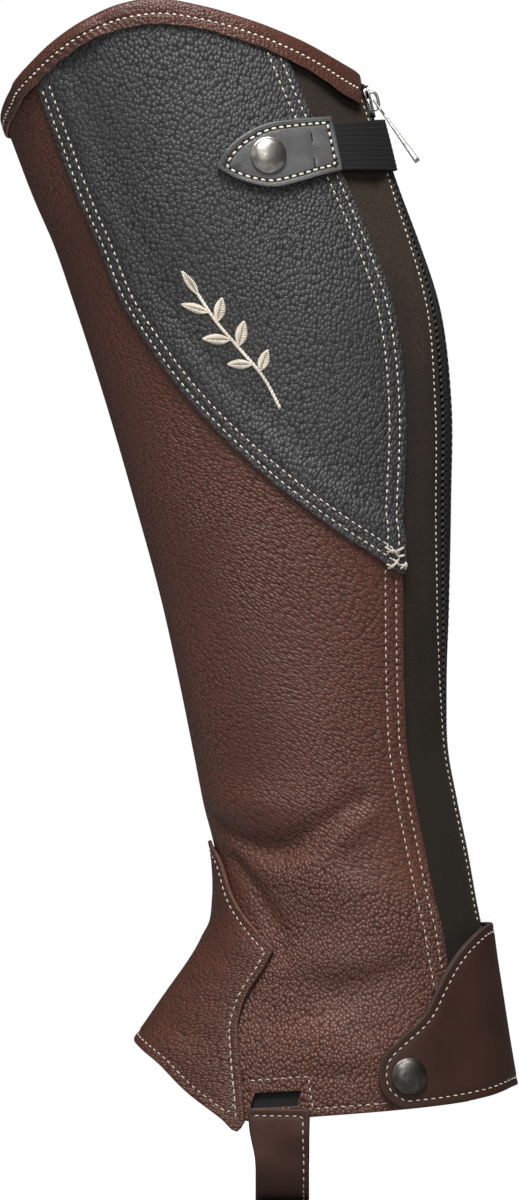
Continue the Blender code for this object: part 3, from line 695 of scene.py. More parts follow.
def pebbled_leather(
    name, colour, size, depth, lean=0.0, spans=(1.0, 1.0, 1.0), crease_shade=0.7, gloss=0.3, roughness=0.42,
    least=0.6, open_below=None,
):
    """Full-grain leather tumbled until its grain stands up in small pebbles, here less, there more.

    Lean turns the grain and spans draws it longer along its axes. A painted shade darkens its
    creases, by the share that follows spans, and a painted highlight lightens its pebbles' tops.
    Below a height it can open into round pebbles, as it does where the leather bends.
    """
    web = Web(name)
    here = web.here()
    drift = web.noise(here, 17, 1.0, "Color")
    drift = web.add(
        "ShaderNodeVectorMath", {0: drift, 1: (0.01, 0.01, 0.01), 2: here}, operation="MULTIPLY_ADD"
    )
    fine = web.noise(here, 330, 2.0, "Color")
    step = {0: fine, 1: (0.0008, 0.0008, 0.0008)}

    def grain(turned, drawn):
        inputs = {"Vector": drift, "Rotation": (0, turned, 0), "Scale": drawn}
        place = web.add("ShaderNodeMapping", inputs, vector_type="TEXTURE")
        place = web.add("ShaderNodeVectorMath", {**step, 2: place}, operation="MULTIPLY_ADD")
        off = web.cells(place, 1000 / size, "F1", 0.85)
        square = web.add("ShaderNodeMath", {0: off, 1: off}, operation="MULTIPLY")
        creases = web.spread(web.cells(place, 1000 / size, disorder=0.85), 0.0, 0.2)
        return web.sum((square, -1.5), (creases, 0.15), (1.0, 0.85))

    pebbles = grain(lean, spans)
    stretched = 1.0
    if open_below:
        wide = grain(-0.6, (0.95, 1.1, 1.15))
        height = web.add("ShaderNodeSeparateXYZ", {0: here}, 2)
        bent = web.sum((web.noise(here, 30, 2.0), 0.05), (height, 1.0))
        low, high = open_below
        opened = web.spread(bent, low + 0.025, high + 0.025, 1.0, 0.0)
        pebbles = web.add("ShaderNodeMix", {0: opened, 2: pebbles, 3: wide})
        stretched = web.sum((opened, 0.2), (1.0, 1.0))
    swells = web.noise(here, 150, 2.0)
    pores = web.noise(here, 2300, 2.0)
    shown = web.spread(web.noise(here, 19, 3.0), 0.38, 0.62, least, 1.0)
    pebbles = web.add("ShaderNodeMix", {0: shown, 2: 0.68, 3: pebbles})
    raised = web.add("ShaderNodeMath", {0: pebbles, 1: stretched}, operation="MULTIPLY")
    web.bump(web.sum((raised, 1.1), (swells, 0.25), (pores, 0.02)), depth)
    patches = web.noise(here, 20, 4.0)
    tone = web.blend(web.spread(patches, 0.3, 0.7), shade(colour, 0.84), shade(colour, 1.12))
    # Painted shade in the creases between the pebbles, and a painted highlight on their tops.
    tone = web.blend(web.spread(pebbles, 0.2, 0.7), shade(colour, crease_shade), tone)
    web.set(Base_Color=web.blend(web.spread(pebbles, 0.7, 1.0), tone, shade(colour, 1.15)))
    web.set(Roughness=web.spread(pebbles, 0.2, 0.9, roughness + 0.1, roughness))
    web.set(Specular_IOR_Level=web.sum((stretched, gloss)) if open_below else gloss)
    return web.material


def smooth_leather(name, colour, depth=0.05, roughness=0.48, rub_and_sheen=0.5, gloss=0.3, uneven=0.12):
    """Smooth leather with fine pores, a few long creases and a hand-rubbed finish, whose lighter patches are
    a little wear and, where strong as on the tab, a painted sheen.
    """
    web = Web(name)
    place = web.here()
    pores = web.spread(web.cells(place, 1700), 0.0, 0.4)
    creases = web.noise(place, 190, 5.0)
    web.bump(web.sum((pores, 0.5), (creases, 0.9)), depth)
    cloud = web.noise(place, 42, 5.0)
    tone = web.blend(web.spread(cloud, 0.3, 0.72), shade(colour, 1 - uneven), shade(colour, 1 + uneven))
    # Lighter patches: a little wear, and where they are strong, as on the tab, a painted sheen.
    rubbed_and_sheen = web.spread(web.noise(place, 95, 6.0), 0.62, 0.78)
    tone = web.blend(web.sum((rubbed_and_sheen, rub_and_sheen)), tone, shade(colour, 1.7))
    web.set(Base_Color=tone)
    web.set(Roughness=web.spread(cloud, 0.3, 0.7, roughness - 0.04, roughness + 0.06))
    web.set(Specular_IOR_Level=gloss)
    return web.material


def napped(name, colour, depth=0.12, scale=900):
    """Suede, felted or brushed cloth."""
    web = Web(name)
    place = web.here()
    nap = web.noise(place, scale, 4.0)
    cloud = web.noise(place, 30, 4.0)
    web.bump(nap, depth)
    tone = web.blend(web.spread(cloud, 0.3, 0.7), shade(colour, 0.84), shade(colour, 1.15))
    tone = web.blend(web.spread(nap, 0.3, 0.7), shade(colour, 0.72), tone)
    web.set(Base_Color=tone, Roughness=0.92, Sheen_Weight=0.25, Sheen_Roughness=0.5)
    web.set(Sheen_Tint=(*colour, 1))
    return web.material


def cut_edge(name, colour, depth=0.15):
    """The raw fibres of a cut edge, rubbed a little smooth."""
    web = Web(name)
    place = web.here()
    fibres = web.noise(place, 1500, 4.0)
    cloud = web.noise(place, 160, 3.0)
    web.bump(fibres, depth)
    tone = web.blend(web.spread(cloud, 0.3, 0.7), shade(colour, 0.7), shade(colour, 1.25))
    web.set(Base_Color=tone, Roughness=0.75)
    return web.material


def stretch_cloth(name, colour):
    """Fine knit: tiny rows of loops, with a soft bloom, and painted shade that darkens it towards the
    bottom.
    """
    web = Web(name)
    place = web.here()
    inputs = {"Vector": place, "Scale": 420.0, "Distortion": 0.6, "Detail": 1.0}
    rows = web.add("ShaderNodeTexWave", inputs, "Fac", bands_direction="Z")
    nap = web.noise(place, 1300, 3.0)
    web.bump(web.sum((rows, 0.5), (nap, 0.7)), 0.08)
    cloud = web.noise(place, 18, 3.0)
    warm = tuple(part * more for part, more in zip(colour, (1.4, 1.25, 1.15)))
    tone = web.blend(web.spread(cloud, 0.34, 0.66), shade(colour, 0.8), warm)
    # Painted shade: the knit is darker towards the bottom, where less light reaches it.
    height = web.add("ShaderNodeSeparateXYZ", {0: place}, 2)
    tone = web.blend(web.spread(height, -0.28, 0.06), shade(colour, 0.45), tone)
    tone = web.blend(web.spread(nap, 0.3, 0.7), shade(colour, 0.5), tone)
    web.set(Base_Color=tone, Roughness=0.9, Sheen_Weight=0.1, Sheen_Roughness=0.5, Specular_IOR_Level=0.2)
    web.set(Sheen_Tint=(*shade(colour, 4.0), 1))
    return web.material


def woven_tape(name, colour):
    """Close-woven tape: fine ribs across its length."""
    web = Web(name)
    place = web.here()
    inputs = {"Vector": place, "Scale": 330.0, "Distortion": 0.4}
    ribs = web.add("ShaderNodeTexWave", inputs, "Fac", bands_direction="Z")
    nap = web.noise(place, 2200, 2.0)
    web.bump(web.sum((ribs, 0.7), (nap, 0.4)), 0.1)
    tone = web.blend(web.spread(ribs, 0.1, 0.9), shade(colour, 0.6), shade(colour, 1.3))
    web.set(Base_Color=tone, Roughness=0.8, Specular_IOR_Level=0.25)
    return web.material


def thread(name, colour, roughness=0.6):
    """Waxed thread, with fine fibres."""
    web = Web(name)
    place = web.here()
    ply = web.noise(place, 2600, 2.0)
    cloud = web.noise(place, 220, 2.0)
    web.bump(ply, 0.12)
    tone = web.blend(web.spread(cloud, 0.3, 0.7), shade(colour, 0.8), shade(colour, 1.08))
    web.set(Base_Color=tone, Roughness=roughness, Sheen_Weight=0.2)
    return web.material


def moulded(name, colour):
    """Moulded plastic with a faint orange peel."""
    web = Web(name)
    peel = web.noise(web.here(), 1100, 2.0)
    web.bump(peel, 0.04)
    web.set(Base_Color=(*colour, 1), Roughness=web.spread(peel, 0.3, 0.7, 0.42, 0.6))
    return web.material


def metal(name, colour, worn, roughness):
    """Plated metal, duller and darker in its worn patches."""
    web = Web(name)
    place = web.here()
    cloud = web.noise(place, 520, 5.0)
    grit = web.noise(place, 3000, 3.0)
    web.bump(grit, 0.02)
    tone = web.blend(web.spread(cloud, 0.36, 0.68), worn, colour)
    web.set(Base_Color=tone, Metallic=1.0)
    web.set(Roughness=web.spread(cloud, 0.3, 0.7, roughness + 0.14, roughness))
    return web.material


FINISHES = {}


def finish(name):
    """Each finish is made once, at its first use."""
    if name in FINISHES:
        return FINISHES[name]
    leather = bpy.context.scene.half_chap_leather
    sewing = bpy.context.scene.half_chap_sewing
    trim = bpy.context.scene.half_chap_trim
    brown, black = tuple(leather.brown), tuple(leather.black)
    smooth, gusset = tuple(leather.smooth_brown), tuple(leather.gusset)
    size, depth = leather.grain_size, leather.grain_depth
    makers = {
        "brown_pebbled": lambda: pebbled_leather(
            "brown_pebbled_leather", brown, 0.85 * size, 0.85 * depth, 0.45, (1.6, 1.1, 0.8), 0.78,
            open_below=(-0.24, -0.222),
        ),
        "instep_pebbled": lambda: pebbled_leather(
            "instep_pebbled_leather", shade(brown, 0.85), 0.8 * size, 0.8 * depth, 0.1, (1.5, 1.1, 0.8)
        ),
        "black_pebbled": lambda: pebbled_leather(
            "black_pebbled_leather", black, size, 0.9 * depth, 0.2, (0.9, 1.0, 1.15), 0.45, 0.6, 0.54, 0.7
        ),
        "binding": lambda: pebbled_leather(
            "binding_leather", shade(brown, 0.9), 0.7 * size, 0.4 * depth, gloss=0.45, roughness=0.36
        ),
        "brown_smooth": lambda: smooth_leather("brown_smooth_leather", smooth, rub_and_sheen=0.12, gloss=0.18),
        # The tab's leather: the black made three times lighter, with strong light patches, as a painted
        # sheen.
        "black_smooth": lambda: smooth_leather(
            "black_smooth_leather", shade(black, 3.0), 0.12, 0.34, 0.6, 0.5, 0.4
        ),
        "strap_smooth": lambda: smooth_leather(
            "strap_smooth_leather", shade(smooth, 1.2), rub_and_sheen=0.12, gloss=0.18
        ),
        # Black ink on the panel's zip edge and the binding's end, and painted shade in the tab's groove and
        # creases.
        "black_ink_and_shade": lambda: smooth_leather("black_ink_and_shade", shade(black, 0.4), rub_and_sheen=0.1, gloss=0.2),
        "brown_suede": lambda: napped("brown_suede", shade(brown, 1.5)),
        "black_suede": lambda: napped("black_suede", shade(black, 1.6)),
        "brown_edge": lambda: cut_edge("brown_cut_edge", shade(brown, 0.9)),
        "pale_edge": lambda: cut_edge("pale_cut_edge", (0.22, 0.12, 0.09), 0.3),
        "black_edge": lambda: cut_edge("black_cut_edge", (0.09, 0.094, 0.094)),
        "smooth_edge": lambda: cut_edge("brown_smooth_edge", shade(smooth, 0.7)),
        "gusset": lambda: stretch_cloth("gusset_knit", gusset),
        "webbing": lambda: woven_tape("elastic_webbing", tuple(leather.webbing)),
        "tape": lambda: woven_tape("zip_tape_weave", (0.012, 0.012, 0.013)),
        "teeth": lambda: moulded("zip_teeth_plastic", (0.011, 0.011, 0.012)),
        "cream_thread": lambda: thread("cream_thread", tuple(sewing.thread_colour)),
        "tack_thread": lambda: thread("tack_thread", shade(tuple(sewing.thread_colour), 0.72)),
        "tan_thread": lambda: thread("tan_thread", shade(tuple(sewing.thread_colour), 0.7)),
        "dark_thread": lambda: thread("dark_thread", (0.02, 0.02, 0.02)),
        "bright_metal": lambda: metal(
            "bright_metal", tuple(trim.zip_metal), shade(tuple(trim.zip_metal), 0.6), 0.22
        ),
        "dull_metal": lambda: metal(
            "antique_metal", tuple(trim.snap_metal), shade(tuple(trim.snap_metal), 0.6), 0.3
        ),
        "dark_metal": lambda: metal(
            "darkened_metal", shade(tuple(trim.snap_metal), 0.24), shade(tuple(trim.snap_metal), 0.14), 0.36
        ),
    }
    FINISHES[name] = makers[name]()
    return FINISHES[name]


# ---------------------------------------------------------------- patterns to meshes


def new_piece(name, points, faces, finishes, indices=None, body="chap"):
    """A smooth mesh from points in millimetres, riding on a body."""
    mesh = bpy.data.meshes.new(name)
    mesh.from_pydata((np.asarray(points) * MM).tolist(), [], [list(map(int, f)) for f in faces])
    mesh.shade_smooth()
    for made in finishes:
        mesh.materials.append(finish(made))
    if indices is not None:
        mesh.polygons.foreach_set("material_index", np.asarray(indices, np.int32))
    piece = bpy.data.objects.new(name, mesh)
    bpy.context.scene.collection.objects.link(piece)
    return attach(piece, body)


def clear_of(spots, others, scale, distance):
    """The spots that lie further than distance from every point of the others."""
    if not len(others) or not len(spots):
        return spots
    tree = KDTree(len(others))
    for index, (u, v) in enumerate(others * scale):
        tree.insert((u, v, 0), index)
    tree.balance()
    far = [tree.find((u, v, 0))[2] > distance for u, v in spots * scale]
    return spots[np.array(far, bool)]


# The height of a triangle of the grid, and how far its points stay from each other, as shares of
# its side.
TRIANGLE = 0.866
GUIDE_FROM_EDGE = 0.16
GRID_FROM_GUIDE = 0.62
GRID_FROM_EDGE = 0.5


def fill(loops, guides, scale, grid):
    """Spots and faces between closed lines, and where the lines' own points are among them."""
    edge_points = np.concatenate(loops)
    low, high = edge_points.min(axis=0), edge_points.max(axis=0)
    rows = np.arange(low[1], high[1], TRIANGLE * grid / scale[1])
    columns = np.arange(low[0] - grid / scale[0], high[0], grid / scale[0])
    spots = [
        np.column_stack([columns + 0.5 * (index % 2) * grid / scale[0], 0 * columns + row])
        for index, row in enumerate(rows)
    ]
    spots = np.concatenate(spots)
    spots = spots[inside(spots, loops)]
    if len(guides):
        guides = np.concatenate(guides)
        guides = guides[inside(guides, loops)]
        guides = clear_of(guides, edge_points, scale, GUIDE_FROM_EDGE * grid)
        spots = clear_of(spots, guides, scale, GRID_FROM_GUIDE * grid)
    else:
        guides = np.zeros((0, 2))
    spots = clear_of(spots, edge_points, scale, GRID_FROM_EDGE * grid)
    spots = np.concatenate([edge_points, guides, spots])
    edges = []
    first = 0
    for loop in loops:
        count = len(loop)
        edges += [(first + index, first + (index + 1) % count) for index in range(count)]
        first += count
    flat = [Vector(spot) for spot in spots * scale]
    flat, _, faces, sources, *_ = delaunay_2d_cdt(flat, edges, [], 0, 1e-5)
    spots = np.array([tuple(spot) for spot in flat]) / scale
    faces = np.array(faces)
    faces = faces[inside(spots[faces].mean(axis=1), loops)]
    place = {source: index for index, found in enumerate(sources) for source in found}
    rings = []
    first = 0
    for loop in loops:
        rings.append(np.array([place[first + index] for index in range(len(loop))]))
        first += len(loop)
    return spots, faces, rings


PLY_SEAM = 0.25


def rim_profile(wall, plies=1, roundness=0.3):
    """How far in and how high each row of a rounded rim lies, from the outer face down."""
    ply = wall / plies
    radius = roundness * ply
    rows = []
    for index in reversed(range(plies)):
        angles = np.radians([90, 60, 30, 0])
        for angle in angles:
            rows.append((radius * (1 - math.cos(angle)), (index + 1) * ply - radius * (1 - math.sin(angle))))
        for angle in angles[::-1]:
            rows.append((radius * (1 - math.cos(angle)), index * ply + radius * (1 - math.sin(angle))))
        if index:
            rows[-1] = (radius + PLY_SEAM, index * ply)
    joined = [row for index, row in enumerate(rows) if not index or row != rows[index - 1]]
    return joined if plies == 1 else [
        row for index, row in enumerate(joined) if not (index and row[1] == joined[index - 1][1])
    ]


# The groove of a sewn row, with lines of points across it.
GROOVE_LINES = (-1.5, -0.75, 0.0, 0.75, 1.5)
GROOVE_HALF = 0.8
ROW_STEP = 1.7
# The leather that a sewn row squeezes up beside it.
PUFF_SHARE = 0.25
PUFF_AWAY = 2.0
PUFF_HALF = 0.9
# How far inside the rim a line of points runs, and where a rim's paint is looked up.
RIM_LINE = 0.7
COAT_LINE = 0.3
# Which of a slab's finishes a face has.
OUTSIDE, INSIDE, EDGE, PAINT = range(4)


class Slab:
    """A cloth, leather or metal piece cut to closed lines and laid on a ground."""

    def __init__(self, ground, loops, under, wall, rows=(), guides=(), relief=None, squeeze=1.0,
                 grid=None, plies=1, roundness=0.3, groove=0.3, painted=None):
        self.ground = ground
        self.wall = wall
        self.under = under
        self.rows = [row for row in rows if len(row) > 1]
        self.extra = relief
        self.groove = groove
        scale = np.array([ground.across, 1.0])
        if squeeze != 1:
            scale *= (1, squeeze) if squeeze > 1 else (1 / squeeze, 1)
        profile = rim_profile(wall, plies, roundness)
        holes = [index > 0 for index in range(len(loops))]
        shrunk = [inset(loop, profile[0][0], ground, hole) for loop, hole in zip(loops, holes)]
        grid = grid or GRID
        lines = [inset(loop, profile[0][0] + RIM_LINE, ground, hole) for loop, hole in zip(loops, holes)]
        lines += guides
        for row in self.rows:
            fine = resample(row, ground, ROW_STEP)
            lines += [beside(fine, offset, ground) for offset in GROOVE_LINES]
        spots, faces, rings = fill(shrunk, lines, scale, grid)
        u, v = spots.T
        count = len(spots)
        outer = self.top(u, v)
        inner = ground.point(u, v, under(u, v))
        sample = faces[:: max(1, len(faces) // 50)]
        first, second, third = outer[sample].transpose(1, 0, 2)
        normals = np.cross(second - first, third - first)
        if (normals * (first - inner[sample[:, 0]])).sum() < 0:
            faces = faces[:, ::-1]
        points = [outer, inner]
        polygons = [faces, faces[:, ::-1] + count]
        outside = np.full(len(faces), OUTSIDE)
        if painted:
            outside[painted(*spots[faces].mean(axis=1).T)] = PAINT
        indices = [outside, np.full(len(faces), INSIDE)]
        total = 2 * count
        directed = {pair for a, b, c in faces for pair in ((a, b), (b, c), (c, a))}
        quads = []
        marks = []
        for loop, ring, hole in zip(loops, rings, holes):
            bands = [ring]
            for inward, height in profile[1:-1]:
                line = inset(loop, inward, ground, hole)
                level = under(*line.T) + height
                if height > wall / 2:
                    level = level + self.dent(*line.T)
                points.append(ground.point(*line.T, level))
                bands.append(np.arange(total, total + len(line)))
                total += len(line)
            bands.append(ring + count)
            forward = (ring[0], ring[1]) in directed
            coat = np.full(len(ring), EDGE)
            if painted:
                coat[painted(*inset(loop, COAT_LINE, ground, hole).T)] = PAINT
            for index, (upper, lower) in enumerate(zip(bands[:-1], bands[1:])):
                next_upper, next_lower = np.roll(upper, -1), np.roll(lower, -1)
                quad = (upper, next_upper, next_lower, lower)
                if forward:
                    quad = (next_upper, upper, lower, next_lower)
                quads.append(np.column_stack(quad))
                marks += list(np.where((coat == EDGE) & (index == 0), OUTSIDE, coat))
        self.points = np.concatenate(points)
        self.faces = [*polygons[0], *polygons[1], *np.concatenate(quads)]
        self.indices = np.concatenate([*indices, marks])

    def dent(self, u, v):
        """How far the sewn rows draw the outer face in, and other relief lifts it."""
        lift = 0 * u
        for row in self.rows:
            off = away(u, v, row, self.ground)
            lift = lift - self.groove * np.exp(-((off / GROOVE_HALF) ** 2))
            beyond = (off - PUFF_AWAY) / PUFF_HALF
            lift = lift + PUFF_SHARE * self.groove * np.exp(-(beyond**2))
        if self.extra:
            lift = lift + self.extra(u, v)
        return lift

    def top(self, u, v, lift=0.0):
        u, v = np.asarray(u, float), np.asarray(v, float)
        flat_u, flat_v = u.ravel(), v.ravel()
        level = (self.under(flat_u, flat_v) + self.wall + self.dent(flat_u, flat_v)).reshape(u.shape)
        return self.ground.point(u, v, level + lift)

    def piece(self, name, finishes, body="chap"):
        return new_piece(name, self.points, self.faces, finishes, self.indices, body)


def level(offset):
    return lambda turn, height: offset + 0 * turn


def resample(path, ground, step):
    """The line with a point about every step millimetres of its real length."""
    along = run(ground.point(*path.T))
    where = np.linspace(0, along[-1], max(2, round(along[-1] / step) + 1))
    return np.column_stack([np.interp(where, along, column) for column in path.T])


# ---------------------------------------------------------------- sewing

THREAD_SIDES = 7
THREAD_STEP = 1.5
STITCH_RINGS = (
    # share of the length, share of the thickness, share of the lift
    (0.0, 0.35, 0.0),
    (0.08, 0.8, 0.45),
    (0.28, 1.0, 0.9),
    (0.5, 1.0, 1.0),
    (0.72, 1.0, 0.9),
    (0.92, 0.8, 0.45),
    (1.0, 0.35, 0.0),
)


def strands(starts, ends, place, thick, sink=-0.22, lift=0.26):
    """Short threads from start to end, each diving into its two holes."""
    share, girth, arch = np.array(STITCH_RINGS).T
    middle = starts[:, None] * (1 - share[:, None]) + ends[:, None] * share[:, None]
    u, v = middle[..., 0], middle[..., 1]
    levels = sink + (lift - sink) * arch
    core = place(u, v, levels)
    above = unit(place(u, v, levels + 1.0) - core)
    sideways = unit(np.cross(unit(np.gradient(core, axis=1)), above))
    angles = np.linspace(0, 2 * np.pi, THREAD_SIDES, endpoint=False)
    reach = 0.5 * thick * girth[None, :, None, None]
    rings = core[:, :, None] + reach * (
        np.cos(angles)[:, None] * sideways[:, :, None] + np.sin(angles)[:, None] * above[:, :, None]
    )
    count, lines = rings.shape[:2]
    points = rings.reshape(-1, 3)
    first = np.arange(count)[:, None, None] * lines * THREAD_SIDES
    ring = np.arange(lines - 1)[None, :, None] * THREAD_SIDES
    side = np.arange(THREAD_SIDES)[None, None, :]
    after = (side + 1) % THREAD_SIDES
    base = first + ring
    quads = np.stack(
        [base + side, base + after, base + THREAD_SIDES + after, base + THREAD_SIDES + side], axis=-1
    ).reshape(-1, 4)
    caps = []
    for index in range(count):
        start = index * lines * THREAD_SIDES
        last = start + (lines - 1) * THREAD_SIDES
        caps.append(list(range(start + THREAD_SIDES - 1, start - 1, -1)))
        caps.append(list(range(last, last + THREAD_SIDES)))
    return points, [*quads, *caps]


def row_stitches(path, ground, pitch, length, slant=0.16):
    """Where each stitch of a sewn row starts and ends."""
    along = run(ground.point(*path.T))
    count = max(1, int(along[-1] / pitch))
    starts = (np.arange(count) + 0.5) * along[-1] / count - length / 2
    scale, _, left = headings(path, ground)
    left = left / scale

    def at(where, aside):
        spot = [np.interp(where, along, column) for column in path.T]
        move = [np.interp(where, along, column) for column in left.T]
        return np.column_stack(spot) + aside * np.column_stack(move)

    return at(starts, -slant / 2), at(starts + length, slant / 2)


class Sewing:
    """Gathers the threads of one piece and makes one mesh of them."""

    def __init__(self):
        self.points = []
        self.faces = []
        self.total = 0

    def add(self, starts, ends, place, thick, **rest):
        points, faces = strands(starts, ends, place, thick, **rest)
        self.points.append(points)
        self.faces += [np.asarray(face) + self.total for face in faces]
        self.total += len(points)

    def row(self, path, ground, place, pitch=None, thick=None, share=0.58, **rest):
        settings = bpy.context.scene.half_chap_sewing
        pitch = pitch or settings.pitch
        thick = thick or settings.thickness
        if len(path) > 1:
            starts, ends = row_stitches(
                resample(path, ground, THREAD_STEP), ground, pitch, share * pitch
            )
            self.add(starts, ends, place, thick, **rest)

    def piece(self, name, made="cream_thread", body="chap"):
        return new_piece(name, np.concatenate(self.points), self.faces, [made], body=body)


def sew(name, slab, pitch=None, thick=None, made="cream_thread", share=0.58):
    """Sews along every row of a slab."""
    sewing = Sewing()
    for row in slab.rows:
        sewing.row(row, slab.ground, slab.top, pitch, thick, share)
    return sewing.piece(name, made)


# ---------------------------------------------------------------- main panel

CORNER = 3.0
PANEL_TOP_DROP = 3.2
PANEL_HEM_TURN = 35.0
PANEL_TOP_TURN = 359.0
PANEL_ZIP_ENDS = (-315.0, 78.0)
PANEL_GUSSET_FOOT = -322.0
NOTCH_HEM_ROOM = 2.0
SEAM_END_TURN = 4.0
ZIP_REACH = (-330.0, 100.0)
EDGE_ROWS = (3.5, 8.2)
ZIP_ROW = 6.5
ZIP_ROW_ENDS = (-314.0, 74.0)
YOKE_CLEAR = 1.0
PAINTED_EDGE = 9.0
HIDDEN_BELOW = -300.0
HEM_ROW = 3.2
BOX_STITCH = ((107.6, -315.6), (90.1, -313.7), (86.6, -326.6))
HEM_ROW_OUTER = (86.2, 60.0)
HEM_ROW_INNER = (271.0, 316.0)

# Finer creases than the form's own folds.
PANEL_CREASES = (
    # turn, height, half_turn, half_height, lift
    (122, -205, 22, 3.4, 0.35),
    (92, -268, 18, 5.0, 0.3),
    (80, -296, 9, 7.0, -0.35),
    (238, -222, 18, 3.2, -0.4),
    (244, -206, 22, 3.4, 0.3),
    (256, -290, 10, 8.0, 0.4),
    (150, -60, 10, 20.0, -0.3),
    (160, -150, 12, 18.0, 0.3),
)
PANEL_STROKES = (
    # half width, lift, line of turn and height
    (
        3.8, -2.0,
        ((157, -212), (144, -218), (132, -222.4), (121, -223), (107, -218.6), (93, -212.6), (76, -203.6)),
    ),
    (4.8, 1.5, ((147, -222.5), (133, -230), (119, -233), (105, -229), (91.4, -221), (76, -210))),
    (3.2, -1.7, ((148, -228), (135, -239), (126, -249.4), (119, -258), (114.5, -266))),
    (5.5, 1.2, ((98, -298), (90, -295.6), (80, -291), (70, -289))),
    (5.5, -1.3, ((105, -276), (92, -278), (80, -276), (65, -271))),
    (3.4, -0.8, ((86.6, -312), (80, -313), (74, -312.5))),
    (15.0, -2.2, ((103, -289), (92, -288), (80, -286), (70, -283))),
    (1.3, 0.5, ((117, -272.5), (108, -275.5), (99, -279))),
    (1.3, -0.5, ((117, -276), (108, -278.8), (99, -281.6))),
    (1.3, 0.5, ((116, -279.8), (108, -282), (99.6, -284.2))),
    (1.3, 0.5, ((114, -287.6), (107, -288.6), (100, -289.5))),
)


def slot_loop():
    corners = (
        (SLOT_TURNS[0], SLOT_HEIGHTS[0]),
        (SLOT_TURNS[1], SLOT_HEIGHTS[0] - SLOT_SLANT),
        (SLOT_TURNS[1], SLOT_HEIGHTS[1] - SLOT_SLANT),
        (SLOT_TURNS[0], SLOT_HEIGHTS[1]),
        (SLOT_TURNS[0], SLOT_HEIGHTS[0]),
    )
    return straight(corners, 1.5)[:-1]


def panel_creases(turn, height):
    return swell(turn, height, PANEL_CREASES)


def panel_folds(turn, height):
    return strokes(turn, height, PANEL_STROKES)


def main_panel():
    """From the gusset's edge round the shin to the zip, notched under the instep piece."""
    seam = beside(through(YOKE_SEAM), -SEAM_LAP)
    gusset_edge = through(GUSSET_EDGE)
    notch = instep_sewn_edge(SEAM_LAP)
    notch = notch[notch[:, 1] > hem_height(notch[:, 0]) + NOTCH_HEM_ROOM]
    seam = seam[seam[:, 0] > turn_on(gusset_edge, seam[:, 1]) + SEAM_END_TURN]
    top = top_line(PANEL_TOP_DROP, PANEL_TOP_TURN, seam[0, 0] + 1)
    seam = cut_at(seam, top[::-1] - (0, CORNER))
    lower_edge = between(gusset_edge, PANEL_GUSSET_FOOT, seam[-1, 1] - CORNER)
    zip_edge = between(zip_side(*ZIP_REACH, 1, 360), *PANEL_ZIP_ENDS)
    outline = np.concatenate(
        [
            hem_line(PANEL_HEM_TURN, notch[0, 0]),
            notch,
            hem_line(notch[-1, 0], zip_edge[0, 0]),
            zip_edge,
            top,
            seam,
            lower_edge,
        ]
    )
    flap = flap_outline()
    yoke_line = through(YOKE_SEAM)
    rows = []
    for inward in EDGE_ROWS:
        row = beside(gusset_edge, inward)
        row = cut_at(row, yoke_line[::-1] - (0, YOKE_CLEAR))
        rows.append(outside_of(row[row[:, 1] > HIDDEN_BELOW], flap))
    zip_row = between(zip_side(*ZIP_REACH, 1, 360, ZIP_ROW), *ZIP_ROW_ENDS)
    flap_inner = flap + (360, 0)
    rows.append(outside_of(zip_row, flap_inner))
    rows.append(outside_of(hem_line(*HEM_ROW_OUTER, HEM_ROW), flap))
    rows.append(outside_of(hem_line(*HEM_ROW_INNER, HEM_ROW), flap_inner))
    rows.append(straight(BOX_STITCH))

    def painted(turn, height):
        return away(turn, height, zip_edge) < PAINTED_EDGE

    slab = Slab(
        LEG, [outline, slot_loop()], panel_folds, LEATHER, rows, relief=panel_creases, painted=painted
    )
    finishes = ["brown_pebbled", "brown_suede", "brown_edge", "black_ink_and_shade"]
    panel = slab.piece("main_panel_leather", finishes)
    stitches = sew("main_panel_stitches", slab, made="tan_thread")
    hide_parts("main_panel")
    return panel, stitches


# ---------------------------------------------------------------- yoke

YOKE_POINT_TURN = 2.0
YOKE_POINT_DROP = 1.0
YOKE_GUIDES = (4.0, 8.0, LAP_EASE[0], 15.0, LAP_EASE[1])
SEAM_ROWS = (2.6, 6.6)
SEAM_ROWS_END_TURN = 4.0
ROWS_BELOW_TOP = 7.0
# The lowest height of the yoke's edge rows, by turn.
YOKE_TIP = (
    # turn, height
    (40.0, -112.0),
    (50.0, -110.0),
    (60.0, -105.0),
)


def yoke_level():
    whole_seam = through(YOKE_SEAM, 4.0)

    def under(turn, height):
        from_seam = away(turn, height, whole_seam)
        return (LEATHER + WIDE_GAP) * (1 - rise(from_seam, *LAP_EASE))

    return under


def yoke():
    """Laps over the main panel along its seam, then eases down to the form."""
    whole_seam = through(YOKE_SEAM)
    gusset_edge = through(GUSSET_EDGE)
    seam = whole_seam[
        whole_seam[:, 0] > turn_on(gusset_edge, whole_seam[:, 1]) + YOKE_POINT_TURN
    ]
    rising = gusset_edge[::-1]
    top = top_line(PANEL_TOP_DROP, rising[-1, 0], seam[0, 0])
    seam = cut_at(seam, top - (0, CORNER))
    back_edge = rising[rising[:, 1] > seam[-1, 1] - YOKE_POINT_DROP]
    back_edge = cut_at(back_edge, top - (0, CORNER))
    outline = np.concatenate([seam, back_edge, top])
    rows = []
    for inward in EDGE_ROWS:
        row = cut_at(beside(gusset_edge, inward), top - (0, ROWS_BELOW_TOP))
        rows.append(row[row[:, 1] > read(YOKE_TIP, row[:, 0], 1)])
    for inward in SEAM_ROWS:
        row = cut_at(beside(whole_seam, -inward), top - (0, ROWS_BELOW_TOP))
        rows.append(row[row[:, 0] > turn_on(gusset_edge, row[:, 1]) + SEAM_ROWS_END_TURN])
    guides = [beside(whole_seam, -line) for line in YOKE_GUIDES]
    slab = Slab(LEG, [outline], yoke_level(), YOKE_LEATHER, rows, guides)
    leather = slab.piece("yoke_leather", ["black_pebbled", "black_suede", "black_edge"])
    stitches = sew("yoke_stitches", slab)
    sprig = embroidery(slab.top)
    tack = bar_tack(slab.top)
    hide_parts("yoke")
    return leather, stitches, sprig, tack


